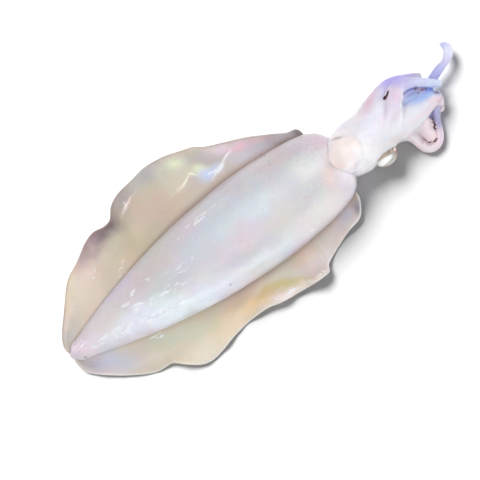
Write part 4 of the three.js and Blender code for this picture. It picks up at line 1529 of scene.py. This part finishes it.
class BuildMantle(bpy.types.Operator):
    """Make the mantle's skin, with its collar and the pocket behind it"""

    bl_idname = "squid.mantle"
    bl_label = "Mantle"

    def execute(self, context):
        bm = bmesh.new()
        add_skin(bm, 300, 120, mantle_place(context.scene.squid_form.tail_folds))
        piece = finished("mantle", bm, mantle_material(context.scene.squid_skin))
        note_along(piece, "hem", hem)
        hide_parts("squid_body")
        return {"FINISHED"}


class BuildFins(bpy.types.Operator):
    """Make the two broad fins"""

    bl_idname = "squid.fins"
    bl_label = "Fins"

    def execute(self, context):
        form, skin = context.scene.squid_form, context.scene.squid_skin
        left = (1, LEFT_FIN_EDGE, LEFT_RUFFLES, LEFT_FIN_SWELLS)
        left_looks = (skin.left_rim_colour, LEFT_FIN_PATCHES, LEFT_FIN_PAINTED_GLINTS)
        right = (-1, RIGHT_FIN_EDGE, RIGHT_RUFFLES, RIGHT_FIN_SWELLS)
        right_looks = (skin.right_rim_and_sheen_colour, RIGHT_FIN_PATCHES, RIGHT_FIN_PAINTED_GLINTS)
        for name, shape, looks in (("left_fin", left, left_looks), ("right_fin", right, right_looks)):
            side, edge, ruffles, swells = shape
            bm = bmesh.new()
            add_skin(bm, 320, 110, fin_place(edge, ruffles, swells, side, form.fin_ripple))
            piece = finished(name, bm, fin_material(skin, name + "_skin", *looks))
            note_along(piece, "crease", crease)
            note_along(piece, "rim", rim_nearness(edge))
            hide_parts("squid_body")
        return {"FINISHED"}


class BuildHead(bpy.types.Operator):
    """Make the head with its arms and tentacles, as one skin with a socket for each eye"""

    bl_idname = "squid.head"
    bl_label = "Head and Arms"

    def execute(self, context):
        form, skin = context.scene.squid_form, context.scene.squid_skin
        bm = bmesh.new()
        add_skin(bm, 60, 72, head_place)
        for lids in (RIGHT_LIDS, LEFT_LIDS):
            add_ball(bm, lids)
        add_ball(bm, NECK_BULGE)
        add_ball(bm, ARM_END_PAD)
        add_ball(bm, FUNNEL_MOUND)
        add_skin(bm, 150, 36, limb_place(collar_roll()))
        for name, route in LIMBS.items():
            add_skin(bm, 12 * len(route), 36, limb_place(route, SECTIONS.get(name, ROUND_SECTION)))
        mesh = cut(fused(bm, form.voxel, form.relaxing), (RIGHT_EYE, LEFT_EYE), GASHES)
        flush_colours(mesh, skin.head_colour)
        piece = dressed("head_and_arms", mesh, arm_material(skin))
        # Marks where painted shade darkens the gaps and hollows.
        note_along(piece, "gap", nearness(GASHES + SHADED_HOLLOWS))
        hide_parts("squid_body")
        return {"FINISHED"}


class BuildSuckers(bpy.types.Operator):
    """Make the suckers in rows along the inner sides of the arms"""

    bl_idname = "squid.suckers"
    bl_label = "Suckers"

    def execute(self, context):
        skin = context.scene.squid_skin
        bm = bmesh.new()
        ring = bm.verts.layers.float.new("ring")
        for limb, start, end, number, around, radius in SUCKER_ROWS:
            at = limb_frame(LIMBS[limb])
            for i in range(number):
                share = lerp(start, end, (i + 0.5) / number)
                size = radius * lerp(1.1, 0.7, i / number) * (1 + 0.22 * math.sin(5 * i + around))
                add_sucker(bm, ring, limb, at(share), math.radians(around + 9 * math.sin(3 * i)), size, i)
        piece = finished("suckers", bm, sucker_material(skin))
        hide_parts("squid_body")
        return {"FINISHED"}


class BuildFunnel(bpy.types.Operator):
    """Make the domed funnel in the notch of the collar, on the head's skin"""

    bl_idname = "squid.funnel"
    bl_label = "Funnel"

    def execute(self, context):
        skin = BVHTree.FromObject(bpy.data.objects["head_and_arms"], context.evaluated_depsgraph_get())

        @lru_cache(maxsize=None)
        def bed(x, y):
            hit = skin.ray_cast(spot(x, y, MANTLE_HEIGHT + 20), Vector((0, 0, -1)))[0]
            return hit.z / MM

        bm = bmesh.new()
        add_skin(bm, 80, 96, cushion_place(bed))
        piece = finished("funnel", bm, funnel_material(context.scene.squid_skin))
        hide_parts("squid_body")
        return {"FINISHED"}


class BuildEyes(bpy.types.Operator):
    """Make the two eyeballs, each looking out along its own axis"""

    bl_idname = "squid.eyes"
    bl_label = "Eyes"

    def execute(self, context):
        material = eye_material(context.scene.squid_skin)
        for name, eye, side in (("right_eyeball", RIGHT_EYE, -1), ("left_eyeball", LEFT_EYE, 1)):
            bm = bmesh.new()
            bmesh.ops.create_uvsphere(bm, u_segments=96, v_segments=64, radius=1)
            gaze = bm.verts.layers.float.new("gaze")
            spin = bm.verts.layers.float.new("spin")
            for corner in bm.verts:
                corner[gaze] = math.acos(clamp(corner.co.z, -1, 1)) / math.pi
                corner[spin] = abs(math.atan2(corner.co.y, corner.co.x)) / math.pi
            half = [h * MM for h in eye["half"]]
            outward = Matrix.Rotation(math.radians(-(90 + GAZE_DROP) * side), 4, "X")
            turn = Matrix.Rotation(math.radians(-eye["tilt"]), 4, "X")
            matrix = Matrix.Translation(spot(*eye["at"])) @ turn @ Matrix.Diagonal((*half, 1)) @ outward
            bmesh.ops.transform(bm, matrix=matrix, verts=bm.verts)
            piece = finished(name, bm, material)
            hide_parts(name.replace("ball", ""))
        return {"FINISHED"}


def in_view(across, above, up):
    """A direction given sideways and upwards across the camera's view, and up from the floor."""
    turn = math.radians(VIEW_TURN)
    sideways = Vector((math.cos(turn), -math.sin(turn), 0))
    upwards = Vector((math.sin(turn), math.cos(turn), 0))
    return across * sideways + above * upwards + up * Vector((0, 0, 1))


def shine(data, place, rays, floor, state):
    """Sets up a light that shines along its rays, and limits it to the floor or keeps it off the floor."""
    light = bpy.data.objects.new(data.name, data)
    light.location = place
    light.rotation_euler = rays.to_track_quat("-Z", "Y").to_euler()
    bpy.context.scene.collection.objects.link(light)
    receivers = bpy.data.collections.new(data.name + "_receivers")
    receivers.objects.link(floor)
    light.light_linking.receiver_collection = receivers
    receivers.collection_objects[0].light_linking.link_state = state


class BuildStage(bpy.types.Operator):
    """Make the floor, the lights and the camera"""

    bl_idname = "squid.stage"
    bl_label = "Stage"

    def execute(self, context):
        stage = context.scene.squid_stage
        material, board = new_material("floor")
        place = board.add("ShaderNodeTexCoord").outputs["Object"]
        colour = mottled(board, board.cloud(place, 40.0)[0], stage.floor_colour, 0.98)
        shader = board.add("ShaderNodeBsdfPrincipled", {"Base Color": colour, "Roughness": 0.7})
        board.add("ShaderNodeOutputMaterial", {"Surface": shader.outputs[0]})
        bm = bmesh.new()
        bmesh.ops.create_grid(bm, x_segments=1, y_segments=1, size=stage.floor_size / 2)
        mesh = bpy.data.meshes.new("floor")
        bm.to_mesh(mesh)
        bm.free()
        mesh.materials.append(material)
        floor = bpy.data.objects.new("floor", mesh)
        context.scene.collection.objects.link(floor)

        world = bpy.data.worlds.new("room")
        world.use_nodes = True
        world.node_tree.nodes["Background"].inputs[0].default_value = (0.96, 0.98, 1, 1)
        world.node_tree.nodes["Background"].inputs[1].default_value = stage.world_strength
        context.scene.world = world
        context.scene.view_settings.view_transform = "Standard"

        centre = spot(*VIEW_MIDDLE)
        distance = LENS * stage.view_width / SENSOR
        camera = bpy.data.objects.new("camera", bpy.data.cameras.new("camera"))
        camera.data.lens = LENS
        camera.data.sensor_width = SENSOR
        camera.data.clip_end = 50
        camera.location = centre + Vector((0, 0, distance))
        camera.rotation_euler = (0, 0, math.radians(-VIEW_TURN))
        context.scene.collection.objects.link(camera)
        context.scene.camera = camera

        for name, (place, size, colour) in WINDOWS.items():
            data = bpy.data.lights.new(name, "AREA")
            data.shape = "RECTANGLE"
            data.size, data.size_y = size
            data.energy = getattr(stage, name.replace("_window", "") + "_power")
            data.color = colour
            shine(data, centre + in_view(*place), -in_view(*place), floor, "EXCLUDE")
        data = bpy.data.lights.new("sun", "SUN")
        data.energy = stage.sun_strength
        data.angle = math.radians(SUN_ANGLE)
        shine(data, centre, in_view(*SUN_RAYS), floor, "INCLUDE")
        return {"FINISHED"}


class SquidPanel(bpy.types.Panel):
    bl_idname = "VIEW3D_PT_squid"
    bl_label = "Squid"
    bl_space_type = "VIEW_3D"
    bl_region_type = "UI"
    bl_category = "Squid"

    def draw(self, context):
        for group in (context.scene.squid_form, context.scene.squid_skin, context.scene.squid_stage):
            box = self.layout.box()
            for name in group.__annotations__:
                box.prop(group, name)
        for operator in OPERATORS:
            self.layout.operator(operator.bl_idname)


OPERATORS = (BuildMantle, BuildFins, BuildHead, BuildSuckers, BuildFunnel, BuildEyes, BuildStage)
CLASSES = (SquidForm, SquidSkin, SquidStage, *OPERATORS, SquidPanel)


def register():
    for cls in CLASSES:
        bpy.utils.register_class(cls)
    bpy.types.Scene.squid_form = PointerProperty(type=SquidForm)
    bpy.types.Scene.squid_skin = PointerProperty(type=SquidSkin)
    bpy.types.Scene.squid_stage = PointerProperty(type=SquidStage)


def unregister():
    for name in ("squid_form", "squid_skin", "squid_stage"):
        delattr(bpy.types.Scene, name)
    for cls in reversed(CLASSES):
        bpy.utils.unregister_class(cls)


def main():
    register()
    bpy.ops.squid.mantle()
    bpy.ops.squid.fins()
    bpy.ops.squid.head()
    bpy.ops.squid.suckers()
    bpy.ops.squid.funnel()
    bpy.ops.squid.eyes()
    bpy.ops.squid.stage()


if __name__ == "__main__":
    main()
